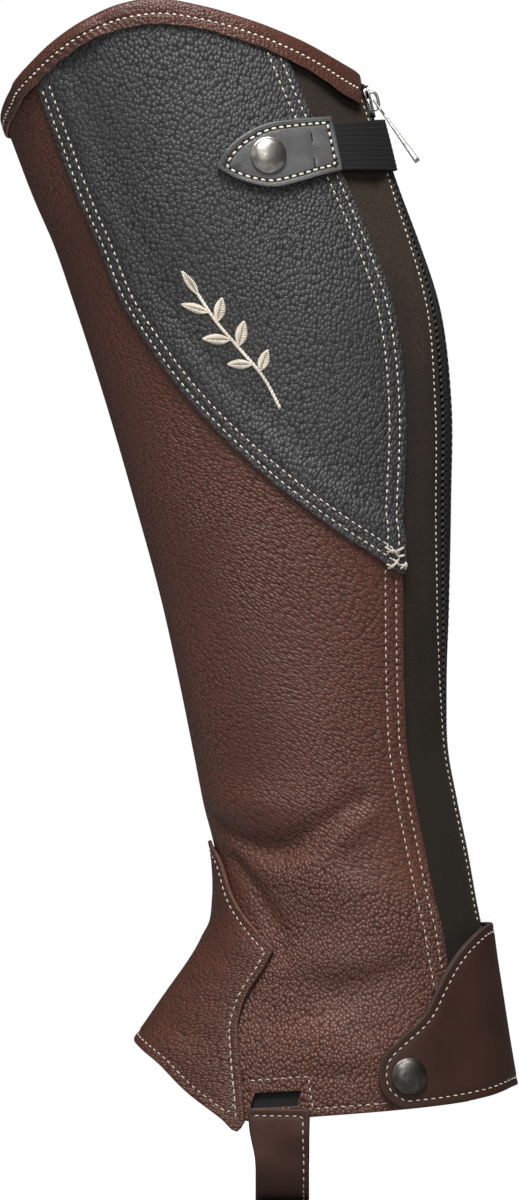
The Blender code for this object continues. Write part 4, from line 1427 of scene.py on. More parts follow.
SPRIG_STEM = (
    # turn, height
    (108.0, -2.0),
    (104.6, -13.0),
    (99.2, -24.0),
    (93.6, -35.0),
    (89.8, -48.0),
)
SPRIG_LEAVES = (
    # share of the stem, length, half_width, lean
    (0.02, 10.0, 2.1, 180),
    (0.16, 10.5, 2.2, 128),
    (0.24, 10.5, 2.2, -128),
    (0.40, 11.0, 2.3, 124),
    (0.48, 11.0, 2.3, -124),
    (0.64, 9.5, 2.1, 122),
    (0.71, 9.5, 2.1, -122),
)
STEM_ASIDE = 0.25
STEM_STITCH = (1.6, 2.6, 0.5)  # pitch, length and slant
STEM_THREAD = 0.7
SATIN_PITCH = 0.75
SATIN_THREAD = 0.62
LEAF_BULGE = 0.8
LEAF_FAN = 1.2


def embroidery(place):
    """A plain leafy sprig in satin stitch."""
    sewing = Sewing()
    stem = resample(through(SPRIG_STEM, 1.0), LEG, 1.0)
    for aside in (-STEM_ASIDE, STEM_ASIDE):
        starts, ends = row_stitches(beside(stem, aside), LEG, *STEM_STITCH)
        sewing.add(starts, ends, place, STEM_THREAD, sink=-0.1, lift=0.3)
    scale, heading, _ = headings(stem)
    for share, length, half_width, lean in SPRIG_LEAVES:
        index = round(share * (len(stem) - 1))
        angle = math.atan2(heading[index, 1], heading[index, 0]) + math.radians(lean)
        axis = np.array([math.cos(angle), math.sin(angle)])
        side = np.array([-axis[1], axis[0]])
        count = round(length / SATIN_PITCH)
        part = (np.arange(count) + 0.5) / count
        width = half_width * np.sin(np.pi * part**LEAF_BULGE) ** LEAF_BULGE
        for hand in (-1, 1):
            rib = part[:, None] * length * axis
            edge = (part[:, None] * length + LEAF_FAN) * axis + hand * width[:, None] * side
            starts = stem[index] + rib / scale[index]
            ends = stem[index] + edge / scale[index]
            sewing.add(starts, ends, place, SATIN_THREAD, sink=-0.1, lift=0.34)
    return sewing.piece("yoke_embroidery")


TACK_STRANDS = (
    # start turn, start height, end turn, end height
    (56.4, -102.6, 52.6, -105.4),
    (55.8, -104.6, 51.4, -104.2),
    (53.4, -103.4, 50.4, -106.8),
    (51.6, -104.6, 47.6, -102.8),
    (50.8, -106.6, 47.4, -106.0),
    (53.2, -107.4, 50.0, -110.4),
    (50.4, -107.4, 53.6, -110.8),
    (56.0, -109.6, 52.8, -111.0),
    (55.4, -111.4, 52.6, -109.6),
    (49.6, -109.8, 46.8, -110.6),
    (49.8, -111.6, 47.2, -109.2),
    (46.9, -108.6, 47.4, -111.8),
)
TACK_THREAD = 1.05


def bar_tack(place):
    """The knotted threads that fasten the yoke's point."""
    table = np.array(TACK_STRANDS)
    sewing = Sewing()
    sewing.add(table[:, :2], table[:, 2:], place, TACK_THREAD, sink=-0.15, lift=0.55)
    return sewing.piece("yoke_bar_tack", "tack_thread")


# ---------------------------------------------------------------- gusset and zip

GUSSET_ROW = 4.6
GUSSET_ROW_ENDS = (-314.0, 78.0)
GUSSET_PITCH = 2.6
GUSSET_THREAD = 0.52
GUSSET_GUIDES = (*TAPE_EASE, 16.0)
STRETCH_TOP_DROP = 6.4
GUSSET_TOP_TURNS = (56.0, 11.0)
GUSSET_TOP_CORNER = 4.0
GUSSET_FRONT_FOOT = -321.0
GUSSET_BACK_FOOT = -316.0
TAPE_ENDS = (-316.0, 76.0)
CHAIN_ENDS = (-316.0, 69.0)
TOOTH_THICKNESS = 1.3
TOOTH_REACH = (2.65, -0.3)
TOOTH_SLANT = 0.95
TOOTH_FOOT = 0.55
TOOTH_TOP = 1.0


def gusset():
    """Stretch cloth on the zip tape at its back edge and under the leather at its front."""
    zip_middle = zip_line(*ZIP_REACH, step=6.0)
    top = top_line(STRETCH_TOP_DROP, *GUSSET_TOP_TURNS)
    front_edge = beside(through(GUSSET_EDGE), GUSSET_LAP)[::-1]
    front_edge = between(front_edge, GUSSET_FRONT_FOOT, top[0, 1] - GUSSET_TOP_CORNER)
    back_edge = zip_side(*ZIP_REACH, -1)[::-1]
    back_edge = between(back_edge, GUSSET_BACK_FOOT, top[-1, 1] - GUSSET_TOP_CORNER)
    bottom = hem_line(back_edge[-1, 0], front_edge[0, 0])

    def under(turn, height):
        from_zip = away(turn, height, zip_middle)
        return -(STRETCH_CLOTH + WIDE_GAP) * rise(from_zip, *TAPE_EASE)

    outline = np.concatenate([bottom, front_edge, top, back_edge])
    row = between(zip_side(*ZIP_REACH, -1, 0, GUSSET_ROW), *GUSSET_ROW_ENDS)
    row = outside_of(row, flap_outline())
    guides = [beside(zip_middle, -line) for line in GUSSET_GUIDES]
    slab = Slab(LEG, [outline], under, STRETCH_CLOTH, [row], guides, relief=gusset_ripple)
    cloth = slab.piece("gusset_cloth_panel", ["gusset", "gusset", "gusset"])
    stitches = sew("gusset_stitches", slab, GUSSET_PITCH, GUSSET_THREAD)
    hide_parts("gusset")
    return cloth, stitches


RIPPLE = 0.22
RIPPLE_TURN = 30
RIPPLE_HALF_TURN = 9


def gusset_ripple(turn, height):
    """The stretch cloth isn't quite even between its seams."""
    middle = np.exp(-(((turn - RIPPLE_TURN) / RIPPLE_HALF_TURN) ** 2))
    return RIPPLE * middle * (np.sin(height / 19.0) + 0.6 * np.sin(height / 7.3 + turn / 5))


TAPE_END_WALL = 1.2
TAPE_END_SINK = 0.4
TAPE_END_STAND = 1.2
TAPE_END_BEND = (80.5, 83.5)
TAPE_END_CORNERS = (
    # turn, height
    (-1.4, 77.0),
    (3.4, 77.0),
    (3.4, 83.8),
    (2.2, 84.6),
    (-0.6, 84.4),
    (-1.4, 83.6),
    (-1.4, 77.0),
)


def zip_tape():
    """The tape under the teeth, and its stiff end above the slider."""
    middle = zip_line(*TAPE_ENDS)
    outline = np.concatenate([beside(middle, TAPE_HALF), beside(middle, -TAPE_HALF)[::-1]])
    slab = Slab(LEG, [outline], level(-ZIP_TAPE - WIDE_GAP), ZIP_TAPE)
    tape = slab.piece("zip_tape_cloth", ["tape", "tape", "tape"])
    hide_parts("zip_tape")

    def bent_out(turn, height):
        return -TAPE_END_SINK + TAPE_END_STAND * rise(height, *TAPE_END_BEND)

    outline = straight(TAPE_END_CORNERS, 0.6)[:-1]
    slab = Slab(LEG, [outline], bent_out, TAPE_END_WALL, grid=0.8)
    end = slab.piece("zip_tape_end", ["tape", "tape", "tape"])
    return tape, end


def zip_teeth():
    """Two rows of slanted teeth that meet in a herringbone."""
    pitch = bpy.context.scene.half_chap_trim.tooth_pitch
    middle = resample(zip_line(*CHAIN_ENDS), LEG, pitch)
    scale, heading, left = headings(middle)
    teeth = Sewing()
    for hand in (-1, 1):
        shift = hand * pitch / 4
        ends = [
            middle + (hand * aside * left + (shift + ahead) * heading) / scale
            for aside, ahead in zip(TOOTH_REACH, (-TOOTH_SLANT, TOOTH_SLANT))
        ]
        teeth.add(*ends, LEG.point, TOOTH_THICKNESS, sink=TOOTH_FOOT, lift=TOOTH_TOP)
    piece = teeth.piece("zip_teeth_rows", "teeth")
    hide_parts("zip_chain")
    return piece


SLIDER_TURN = 4.0
SLIDER_HEIGHT = 74.6
SLIDER_LEAN = 14.0
SLIDER_TOP = 3.2
HINGE_RISE = 0.95
PULL_LEAN = 35.5
SLIDER_OUTLINE = (
    # half of its width, along
    (3.7, -6.6),
    (4.0, -4.5),
    (4.3, -1.0),
    (4.7, 2.5),
    (4.6, 4.8),
    (3.6, 6.3),
    (1.8, 6.7),
)
SLIDER_PLATES = (
    # share of the outline, level, thickness, grid
    (1.0, 2.2, 1.0, 1.2),
    (0.94, 0.8, 0.7, 1.5),
)
SLIDER_WALL = ((3.0, -6.0), (3.8, -6.0), (4.3, 1.5), (3.4, 1.5))
SLIDER_WEDGE = ((0, 1.5), (1.6, 5.0), (0, 6.2), (-1.6, 5.0))
SLIDER_CHANNEL = (1.3, 1.1)  # level and height of what stands between the plates
BRIDGE_HALF = 3.6
BRIDGE_RISE = 2.5
BRIDGE_WIRE = 0.6
BRIDGE_FLAT = 1.3
BRIDGE_ROOT = 0.7


def slider_frame():
    """The slider's own axes: X across, Y up its length and Z out of its face."""
    lean = math.radians(SLIDER_LEAN)
    foot = Vector(LEG.point(SLIDER_TURN, SLIDER_HEIGHT)) * MM
    out = Vector((math.cos(lean), 0, math.sin(lean)))
    up = Vector((-math.sin(lean), 0, math.cos(lean)))
    axes = Matrix((up.cross(out), up, out)).transposed()
    return Matrix.Translation(foot) @ axes.to_4x4()


def hinge_frame():
    """The pull's axes at rest: X along the pull, Y along its hinge."""
    lean = math.radians(PULL_LEAN)
    hinge = slider_frame() @ Vector((0, 0, (SLIDER_TOP + HINGE_RISE) * MM))
    along = Vector((math.sin(lean), 0, -math.cos(lean)))
    across = Vector((0, 1, 0))
    axes = Matrix((along, across, along.cross(across))).transposed()
    return Matrix.Translation(hinge) @ axes.to_4x4()


def soft_corners(points, rounds=2):
    """A closed outline with its corners cut again and again until they are round."""
    points = np.array(points, float)
    for _ in range(rounds):
        ahead = np.roll(points, -1, axis=0)
        points = np.stack([0.75 * points + 0.25 * ahead, 0.25 * points + 0.75 * ahead], axis=1)
        points = points.reshape(-1, 2)
    return points


def ring_faces(rings, sides, first=0):
    """The faces between rings of points that follow each other."""
    faces = []
    for low in range(first, first + (rings - 1) * sides, sides):
        for side in range(sides):
            after = (side + 1) % sides
            faces.append([low + side, low + after, low + sides + after, low + sides + side])
    return faces


def tube(path, radius, flat=1.0, sides=12):
    """A closed round bar along a path of points."""
    path = np.array(path, float)
    side = np.array([1.0, 0.0, 0.0])
    out = np.cross(unit(np.gradient(path, axis=0)), side)
    angles = np.linspace(0, 2 * np.pi, sides, endpoint=False)
    rings = path[:, None] + radius * (
        flat * np.cos(angles)[:, None] * side + np.sin(angles)[:, None] * out[:, None]
    )
    points = rings.reshape(-1, 3)
    faces = ring_faces(len(path), sides)
    faces.append(list(range(sides))[::-1])
    faces.append([(len(path) - 1) * sides + index for index in range(sides)])
    return points, faces


def joined(parts):
    """Several meshes' points and faces as one."""
    points, faces, total = [], [], 0
    for some_points, some_faces in parts:
        points.append(some_points)
        faces += [[int(corner) + total for corner in face] for face in some_faces]
        total += len(some_points)
    return np.concatenate(points), faces


def zip_slider():
    """Two plates on side walls, with a bridge over the upper one."""
    matrix = slider_frame()
    bench = Bench(matrix)
    half = list(SLIDER_OUTLINE)
    outline = soft_corners(half + [(-x, y) for x, y in reversed(half)])
    slabs = [
        Slab(bench, [outline * size], level(foot), wall, grid=grid, roundness=0.35)
        for size, foot, wall, grid in SLIDER_PLATES
    ]
    channel, height = SLIDER_CHANNEL
    wall = np.array(SLIDER_WALL)
    for corners in (wall * (-1, 1), wall, SLIDER_WEDGE):
        slabs.append(Slab(bench, [soft_corners(corners, 1)], level(channel), height, grid=2.0))
    arch = []
    for angle in np.radians(np.linspace(0, 180, 25)):
        rising = BRIDGE_RISE * math.sin(angle) ** 0.5
        arch.append((0, BRIDGE_HALF * math.cos(angle), SLIDER_TOP + rising))
    root = SLIDER_TOP - BRIDGE_ROOT
    arch = [(0, BRIDGE_HALF, root), *arch, (0, -BRIDGE_HALF, root)]
    bar, bar_faces = tube(arch, BRIDGE_WIRE, BRIDGE_FLAT)
    bar = bar @ bench.matrix[:3, :3].T + bench.matrix[:3, 3] / MM
    points, faces = joined([*((slab.points, slab.faces) for slab in slabs), (bar, bar_faces)])
    slider = new_piece("zip_slider_body", points, faces, ["bright_metal"])
    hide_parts("zip_slider")
    return slider


PULL_LENGTH = 30.0
PULL_NECK = 6.4
PULL_HALF = (
    # along, half of its width
    (-0.45, 1.7),
    (0.2, 2.1),
    (5.0, 2.1),
    (PULL_NECK, 1.2),
    (17.0, 1.9),
    (29.0, 2.7),
    (PULL_LENGTH, 2.2),
)
PULL_WINDOW = ((0.45, 1.1), (5.0, 1.1), (5.0, -1.1), (0.45, -1.1))
PULL_PLATE = 0.9
PULL_END_PLATE = 2.2


def zip_pull():
    """A slim bar that widens and thickens to its end, with an eye round the bridge."""

    def thicker(u, v):
        share = np.clip((u - PULL_NECK) / (PULL_LENGTH - PULL_NECK), 0, 1)
        return 1 + (PULL_END_PLATE / PULL_PLATE - 1) * share

    bench = Bench(hinge_frame(), thicker)
    half = np.array(PULL_HALF)
    outline = np.concatenate([half, (half * (1, -1))[::-1]])
    window = straight([*PULL_WINDOW, PULL_WINDOW[0]], 0.5)[:-1]
    slab = Slab(
        bench, [straight([*outline, outline[0]], 0.6)[:-1], window], level(-PULL_PLATE / 2), PULL_PLATE,
        grid=0.8, roundness=0.22,
    )
    pull = slab.piece("zip_pull_bar", ["bright_metal"] * 3, "pull")
    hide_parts("zip_pull")
    return pull


# ---------------------------------------------------------------- binding

BINDING_ENDS = (7.5, 357.5)
# The first end is cut on a slant, which turns back by some degrees down to the lower edge.
BINDING_SLANT = 9.0
BINDING_SLANT_TO = 32.0
BINDING_DEPTHS = (
    # turn, depth of the outer face
    (0, 16.6),
    (21, 16.0),
    (37, 13.2),
    (53, 11.5),
    (68, 10.9),
    (91, 10.8),
    (100, 9.6),
    (110, 8.2),
    (140, 7.8),
    (200, 8.4),
    (360, 9.8),
)
BINDING_LAP_UP = (104.0, 114.0)
BINDING_LAP_DOWN = (147.0, 155.0)
BINDING_ROW = 0.6
BINDING_FOLD = 2.6
BINDING_INNER = 5.2
BINDING_STEP = 0.55
BINDING_PITCH = 2.75
BINDING_THREAD = 0.72
BINDING_DENT = 0.36
BINDING_GROOVE = (
    # below the sewn row, depth
    (0.7, 0.08),
    (0.35, 0.24),
    (0.0, BINDING_DENT),
    (-0.35, 0.24),
    (-0.7, 0.04),
)
PUCKER_HEIGHT = 0.32
PUCKER_PITCH = 2.1
BINDING_INKED = 352.0


def binding_lift(turns):
    """The outermost level of the binding's outer and inner faces."""
    on_lap = rise(turns, *BINDING_LAP_UP) * (1 - rise(turns, *BINDING_LAP_DOWN))
    outer = LEATHER + GAP + BINDING + on_lap * (YOKE_LEATHER + WIDE_GAP)
    return outer, -GAP - BINDING + 0 * turns


def binding_line(turns, drop):
    """The line that runs drop millimetres below the top edge on the binding."""
    at_end = 1 - rise(turns, BINDING_ENDS[0], BINDING_SLANT_TO)
    turns = turns + BINDING_SLANT * at_end * drop / read(BINDING_DEPTHS, turns, 1)
    path = np.column_stack([turns, read(TOP_EDGE, turns, 1)])
    return beside(path, -np.reshape(drop, (-1, 1)))


def binding_rings(turns):
    """The strip's section at each turn, from its raw outer edge over the top and back inside."""
    depth = read(BINDING_DEPTHS, turns, 1)
    row = BINDING_ROW * depth
    outer, inner = binding_lift(turns)
    wander = 0.16 * np.sin(turns / 3.1) + 0.12 * np.sin(turns / 1.3 + 1) + 0.1 * np.sin(turns * 1.9)
    puff = 0.14 * np.sin(turns / 2.3 + 2) + 0.1 * np.sin(turns / 0.9)
    around_leg = LEG.stretch(turns, 90 + 0 * turns)[:, 0]
    puckers = PUCKER_HEIGHT * np.sin(2 * np.pi * turns * around_leg / PUCKER_PITCH)

    def spot(drop, lift):
        edge = binding_line(turns, drop)
        return LEG.point(edge[:, 0], edge[:, 1], lift)

    middle, radius = (outer + inner) / 2, (outer - inner) / 2
    ring = [spot(depth + wander, outer - 0.5), spot(depth - 0.1 + wander, outer - 0.12)]
    for share in (0.93, 0.8, 0.6, 0.4, 0.2):
        drop = row + share * (depth - row)
        pull = 4 * share * (1 - share)
        ring.append(spot(drop + share * wander, outer + puckers * pull - 0.1 * share))
    for aside, dent in BINDING_GROOVE:
        ring.append(spot(row + aside, outer - dent))
    for share in (0.75, 0.5, 0.25):
        drop = BINDING_FOLD + share * (row - BINDING_FOLD)
        ring.append(spot(drop, outer + (0.12 + puff) * 4 * share * (1 - share)))
    angles = np.radians(np.linspace(0, 180, 17))
    for angle in angles:
        drop = BINDING_FOLD * (1 - math.sin(angle))
        ring.append(spot(drop, middle + (radius + 0.5 * puff * math.sin(angle)) * math.cos(angle)))
    for drop in (3.4, 4.2, 5.0):
        ring.append(spot(drop, inner))
    ring += [spot(BINDING_INNER, inner + 0.3), spot(BINDING_INNER, inner + 0.9)]
    ring.append(spot(5.0, inner + BINDING))
    for angle in angles[::-1]:
        drop = BINDING + BINDING_FOLD * (1 - math.sin(angle))
        ring.append(spot(drop, middle + (radius - BINDING) * math.cos(angle)))
    for share in (0.5, 0.75, 0.97):
        ring.append(spot(share * depth, outer - BINDING))
    return np.stack(ring, axis=1)


def top_binding():
    """One strip folded over the top edge, its lower edge left raw."""
    turns = np.linspace(*BINDING_ENDS, round((BINDING_ENDS[1] - BINDING_ENDS[0]) / BINDING_STEP))
    rings = binding_rings(turns)
    count, around = rings.shape[:2]
    faces = ring_faces(count, around)
    marks = []
    for turn in turns[:-1]:
        for side in range(around):
            cut = side in (0, around - 1)
            marks.append(2 if turn > BINDING_INKED else 1 if cut else 0)
    faces.append(list(range(around))[::-1])
    faces.append([(count - 1) * around + side for side in range(around)])
    marks += [1, 2]
    finishes = ["binding", "pale_edge", "black_ink_and_shade"]
    binding = new_piece("top_binding_leather", rings.reshape(-1, 3), faces, finishes, marks)

    def place(turn, height, lift):
        return LEG.point(turn, height, binding_lift(turn)[0] - BINDING_DENT + lift)

    sewing = Sewing()
    sewn = binding_line(turns, BINDING_ROW * read(BINDING_DEPTHS, turns, 1))[4:-4]
    sewing.row(sewn, LEG, place, BINDING_PITCH, BINDING_THREAD, 0.52, sink=-0.1, lift=0.34)
    stitches = sewing.piece("top_binding_stitches")
    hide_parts("top_binding")
    return binding, stitches


# ---------------------------------------------------------------- instep, flap, tab and bands

INSTEP_ROW = 3.0
INSTEP_ROW_FOOT = -333.0
INSTEP_LOW_ROW_TOP = -296
INSTEP_LOW_ROW_TURN = 108.5
# The same on both sides of the shin.
INSTEP_STROKES = (
    # half width, lift, line of turn and height
    (5.0, 0.8, ((175, -259.5), (158, -258), (146, -260.6), (132, -264.5))),
    (1.6, 0.6, ((160, -277), (146, -273.6), (131, -274.6))),
    (1.4, -0.6, ((158, -280), (141, -277.6), (130.5, -278))),
    (1.4, 0.6, ((156, -283), (138, -281.4), (129.5, -281.2))),
    (1.3, -0.5, ((150, -286), (137, -284.6), (129, -284.4))),
    (1.4, 0.5, ((148, -289), (136, -287.4), (128, -287.6))),
    (4.0, -0.7, ((150, -296), (136, -298), (126, -301))),
    (4.0, 0.6, ((144, -303), (132, -306), (120, -313))),
)


def instep():
    """Sewn over the notch in the main panel, the same on both sides of the shin."""
    upper, lower = through(INSTEP_EDGE_UPPER), through(INSTEP_EDGE_LOWER)
    half = np.concatenate([upper[:-1], lower[:-1], through(INSTEP_BOTTOM)])
    outline = np.concatenate([half, mirrored(half)[1:-1]])
    sewn = instep_sewn_edge(INSTEP_ROW)
    low = inset(outline, INSTEP_ROW)
    low = low[(low[:, 1] < INSTEP_LOW_ROW_TOP) & (away(*low.T, outline) > 0.9 * INSTEP_ROW)]
    low = low[(low[:, 0] > INSTEP_LOW_ROW_TURN) & (low[:, 0] < 360 - INSTEP_LOW_ROW_TURN)]
    sewn = sewn[sewn[:, 1] > INSTEP_ROW_FOOT]

    def creases(turn, height):
        return strokes(180 - np.abs(turn - 180), height, INSTEP_STROKES)

    slab = Slab(LEG, [outline], level(LEATHER + WIDE_GAP), LEATHER, [sewn, low], relief=creases)
    leather = slab.piece("instep_leather", ["instep_pebbled", "brown_suede", "brown_edge"])
    stitches = sew("instep_stitches", slab, made="tan_thread")
    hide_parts("instep")
    return leather, stitches


FLAP_STAND = 2.4
FLAP_STAND_UP = (-42.0, -16.0)
FLAP_STAND_DOWN = (18.0, 48.0)
FLAP_FLARE = 0.0071
FLAP_MIDDLE = -285.0
FLAP_ROW = 3.0


def ring_row(outline, inward, ground=LEG):
    """A sewn row that runs all round inside a closed line."""
    row = inset(outline, inward, ground)
    row = row[away(*row.T, np.concatenate([outline, outline[:1]]), ground) > 0.93 * inward]
    return np.concatenate([row, row[:1]])


def ankle_flap():
    """From the inner side round the back, over the zip's foot, to its snap."""

    def under(turn, height):
        over_zip = rise(turn, *FLAP_STAND_UP) * (1 - rise(turn, *FLAP_STAND_DOWN))
        flare = 1 + FLAP_FLARE * (FLAP_MIDDLE - height)
        return LEATHER + GAP + FLAP_STAND * over_zip * flare

    outline = flap_outline()
    slab = Slab(LEG, [outline], under, FLAP_LEATHER, [ring_row(outline, FLAP_ROW)], plies=2)
    leather = slab.piece("ankle_flap_leather", ["brown_smooth", "brown_smooth", "smooth_edge"])
    stitches = sew("ankle_flap_stitches", slab, made="tan_thread")
    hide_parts("ankle_flap")
    return leather, stitches


TAB_ROW = 2.6
# Painted shade: half the width of the dark band along the sewn row's groove.
TAB_GROOVE_SHADE_HALF = 0.75
TAB_CREASE_HALF = 0.45
TAB_CREASE_LIFT = -0.4
# Painted shade: a crease that dips below this lift, in millimetres, is painted dark.
TAB_CREASE_SHADE_BELOW = -0.3
# Where the tab has bent, in millimetres from the middle and above it.
TAB_CREASES = (
    ((22.3, 61.0), (22.8, 57.6)),
    ((23.6, 51.0), (24.2, 46.5)),
)


def calf_tab():
    """The tab on the yoke, with two short creases where it has bent, and painted shade along its sewn groove
    and in its creases.
    """
    upper, lower = through(TAB_UPPER), through(TAB_LOWER)
    end = through((TAB_LOWER[-1], TAB_UPPER[0]))
    outline = np.concatenate([upper[:-1], lower, end[1:-1]])

    worn = [
        (TAB_CREASE_HALF, TAB_CREASE_LIFT, [(turn_at(x, z), z) for x, z in line])
        for line in TAB_CREASES
    ]
    asides = (-0.6, -0.3, 0.0, 0.3, 0.6)
    bent = [beside(through(line, 0.8), aside) for _, _, line in worn for aside in asides]

    def creases(turn, height):
        return strokes(turn, height, worn)

    # Painted shade: the black finish goes along the sewn row's groove and the bottoms of the creases.
    def groove_and_crease_shade(turn, height):
        from_edge = away(turn, height, np.concatenate([outline, outline[:1]]))
        return (abs(from_edge - TAB_ROW) < TAB_GROOVE_SHADE_HALF) | (creases(turn, height) < TAB_CREASE_SHADE_BELOW)

    slab = Slab(
        LEG, [outline], level(YOKE_LEATHER + WIDE_GAP), TAB_LEATHER, [ring_row(outline, TAB_ROW)],
        guides=bent, relief=creases, plies=2, groove=0.4, painted=groove_and_crease_shade,
    )
    finishes = ["black_smooth", "black_smooth", "black_edge", "black_ink_and_shade"]
    leather = slab.piece("calf_tab_leather", finishes)
    stitches = sew("calf_tab_stitches", slab, 3.0, 0.95, share=0.64)
    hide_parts("calf_tab")
    return leather, stitches


BAND_STAND = 2.0
BAND_STAND_TURNS = (14.0, 40.0)
BAND_ROW_TURNS = (-47.0, -44.0)
BAND_ROW_IN = 1.5
RIB_PITCH = 1.96
RIB_DEPTH = 0.06
SLOT_RIB_TURNS = 1.02
SLOT_RIB_DEPTH = 0.18


def calf_elastic():
    """Ribbed elastic from the tab round the back to the inner side."""
    upper = np.array(BAND_UPPER)
    lower = np.array(BAND_LOWER)
    outline = np.concatenate([through(upper), through(lower)])

    def under(turn, height):
        at_back = 1 - rise(np.abs(turn), *BAND_STAND_TURNS)
        slope = (height - BAND_BOTTOM) / (BAND_TOP - BAND_BOTTOM)
        return LEATHER + WIDE_GAP + BAND_STAND * at_back * slope

    def ribs(turn, height):
        return RIB_DEPTH * np.cos(2 * np.pi * (height - BAND_BOTTOM) / RIB_PITCH) - RIB_DEPTH

    slab = Slab(
        LEG, [outline], under, WEBBING, relief=ribs, squeeze=6.0,
    )
    band = slab.piece("calf_elastic_band", ["webbing"] * 3)
    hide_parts("calf_elastic")
    sewing = Sewing()
    for turn in BAND_ROW_TURNS:
        row = straight(((turn, BAND_BOTTOM + BAND_ROW_IN), (turn, BAND_TOP - BAND_ROW_IN)))
        sewing.row(row, LEG, slab.top, 2.4, 0.6)
    stitches = sewing.piece("calf_elastic_stitches", "dark_thread")
    return band, stitches


def strap_elastic():
    """The ribbed elastic behind the slot."""
    (back, front), (bottom, top) = ELASTIC_TURNS, ELASTIC_HEIGHTS
    corners = ((back, bottom), (front, bottom), (front, top), (back, top), (back, bottom))
    outline = straight(corners)[:-1]

    def ribs(turn, height):
        return SLOT_RIB_DEPTH * np.cos(2 * np.pi * turn / SLOT_RIB_TURNS) - SLOT_RIB_DEPTH

    slab = Slab(LEG, [outline], level(-WEBBING - GAP), WEBBING, relief=ribs, squeeze=1 / 6.0)
    band = slab.piece("strap_elastic_band", ["webbing"] * 3)
    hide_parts("strap_elastic")
    return band


def turn_at(x, height):
    """The turn on the outer side where the leg form reaches an x."""
    front, back = read(SECTIONS, height, FRONT), read(SECTIONS, height, BACK)
    return np.degrees(np.arccos((x - (front + back) / 2) / ((back - front) / 2)))


STRAP_SOLE_ROWS = (-21.0, -14.0, -7.0)
STRAP_ROW_IN = 2.6
STRAP_ROW_END = 3.0
STRAP_ROW_START = 2.0


def foot_strap():
    """From the outer hem, under the foot, to the inner hem."""
    share = np.linspace(0, 1, 5)
    hem_x = STRAP_HEM_X[0] + (STRAP_HEM_X[1] - STRAP_HEM_X[0]) * share
    sole_x = STRAP_SOLE_X[0] + (STRAP_SOLE_X[1] - STRAP_SOLE_X[0]) * share

    def across(height):
        return hem_x + (sole_x - hem_x) * rise(-height, *STRAP_TAPER)

    rows = [LEG.point(turn_at(across(z), z), z, LEATHER + WIDE_GAP) for z in STRAP_HEIGHTS]
    foot = STRAP_SOLE_Z + STRAP_BEND
    for angle in np.radians(np.linspace(0, 90, 10)):
        y = -STRAP_HALF_SPAN + STRAP_BEND * (1 - math.cos(angle))
        z = foot - STRAP_BEND * math.sin(angle)
        rows.append(np.column_stack([across(z), 0 * sole_x + y, 0 * sole_x + z]))
    for y in STRAP_SOLE_ROWS:
        rows.append(np.column_stack([sole_x, 0 * sole_x + y, 0 * sole_x + STRAP_SOLE_Z]))
    rows += [row * (1, -1, 1) for row in rows[::-1]]
    band = Band(rows)
    half = band.width / 2
    corners = ((0, -half), (band.length, -half), (band.length, half), (0, half), (0, -half))
    outline = straight(corners)[:-1]
    near, far = STRAP_ROW_END, band.length - STRAP_ROW_END
    start, edge = -half + STRAP_ROW_START, half - STRAP_ROW_IN
    sewn = [straight(((near, start), (near, edge), (far, edge), (far, start)))]
    slab = Slab(band, [outline], level(0), STRAP_LEATHER, sewn, roundness=0.34)
    leather = slab.piece("foot_strap_leather", ["strap_smooth", "brown_suede", "smooth_edge"])
    stitches = sew("foot_strap_stitches", slab, made="tan_thread")
    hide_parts("foot_strap")
    return leather, stitches


# ---------------------------------------------------------------- snaps

SNAP_PROFILE = (
    # radius, height
    (0.0, 3.2),
    (1.2, 3.18),
    (2.6, 3.05),
    (4.0, 2.75),
    (5.2, 2.28),
    (6.0, 1.78),
    (6.5, 1.32),
    (6.75, 1.05),
    (6.95, 0.95),
    (7.2, 0.85),
    (7.3, 0.6),
    (7.2, 0.3),
    (6.9, 0.08),
    (6.2, 0.0),
    (0.0, 0.0),
)
SNAP_STEPS = 72


def snap(name, place, rest, made="dull_metal"):
    """A plain domed press stud cap with a rolled rim."""
    foot = LEG.point(*place, rest)
    out = LEG.point(*place, rest + 1) - foot
    turned = np.array(Vector(out).to_track_quat("Z", "Y").to_matrix())
    angles = np.linspace(0, 2 * np.pi, SNAP_STEPS, endpoint=False)
    points = [np.array([0, 0, SNAP_PROFILE[0][1]])]
    for radius, height in SNAP_PROFILE[1:-1]:
        points += [np.array([radius * math.cos(a), radius * math.sin(a), height]) for a in angles]
    points.append(np.array([0, 0, 0]))
    faces = [[0, 1 + index, 1 + (index + 1) % SNAP_STEPS] for index in range(SNAP_STEPS)]
    rings = len(SNAP_PROFILE) - 2
    faces += [[face[0], *face[:0:-1]] for face in ring_faces(rings, SNAP_STEPS, 1)]
    last = 1 + (rings - 1) * SNAP_STEPS
    faces += [
        [len(points) - 1, last + (index + 1) % SNAP_STEPS, last + index] for index in range(SNAP_STEPS)
    ]
    cap = new_piece(name + "_cap", np.array(points) @ turned.T + foot, faces, [made])
    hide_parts(name)
    return cap


# ---------------------------------------------------------------- stage

PIXEL = 0.4 * MM
FRAME_SIZE = (519, 1200)
ORIGIN_PIXEL = (250, 290)
CAMERA_DISTANCE = 8.0
FLOOR_RADIUS = 1.2
FLOOR_GAP = 0.2 * MM


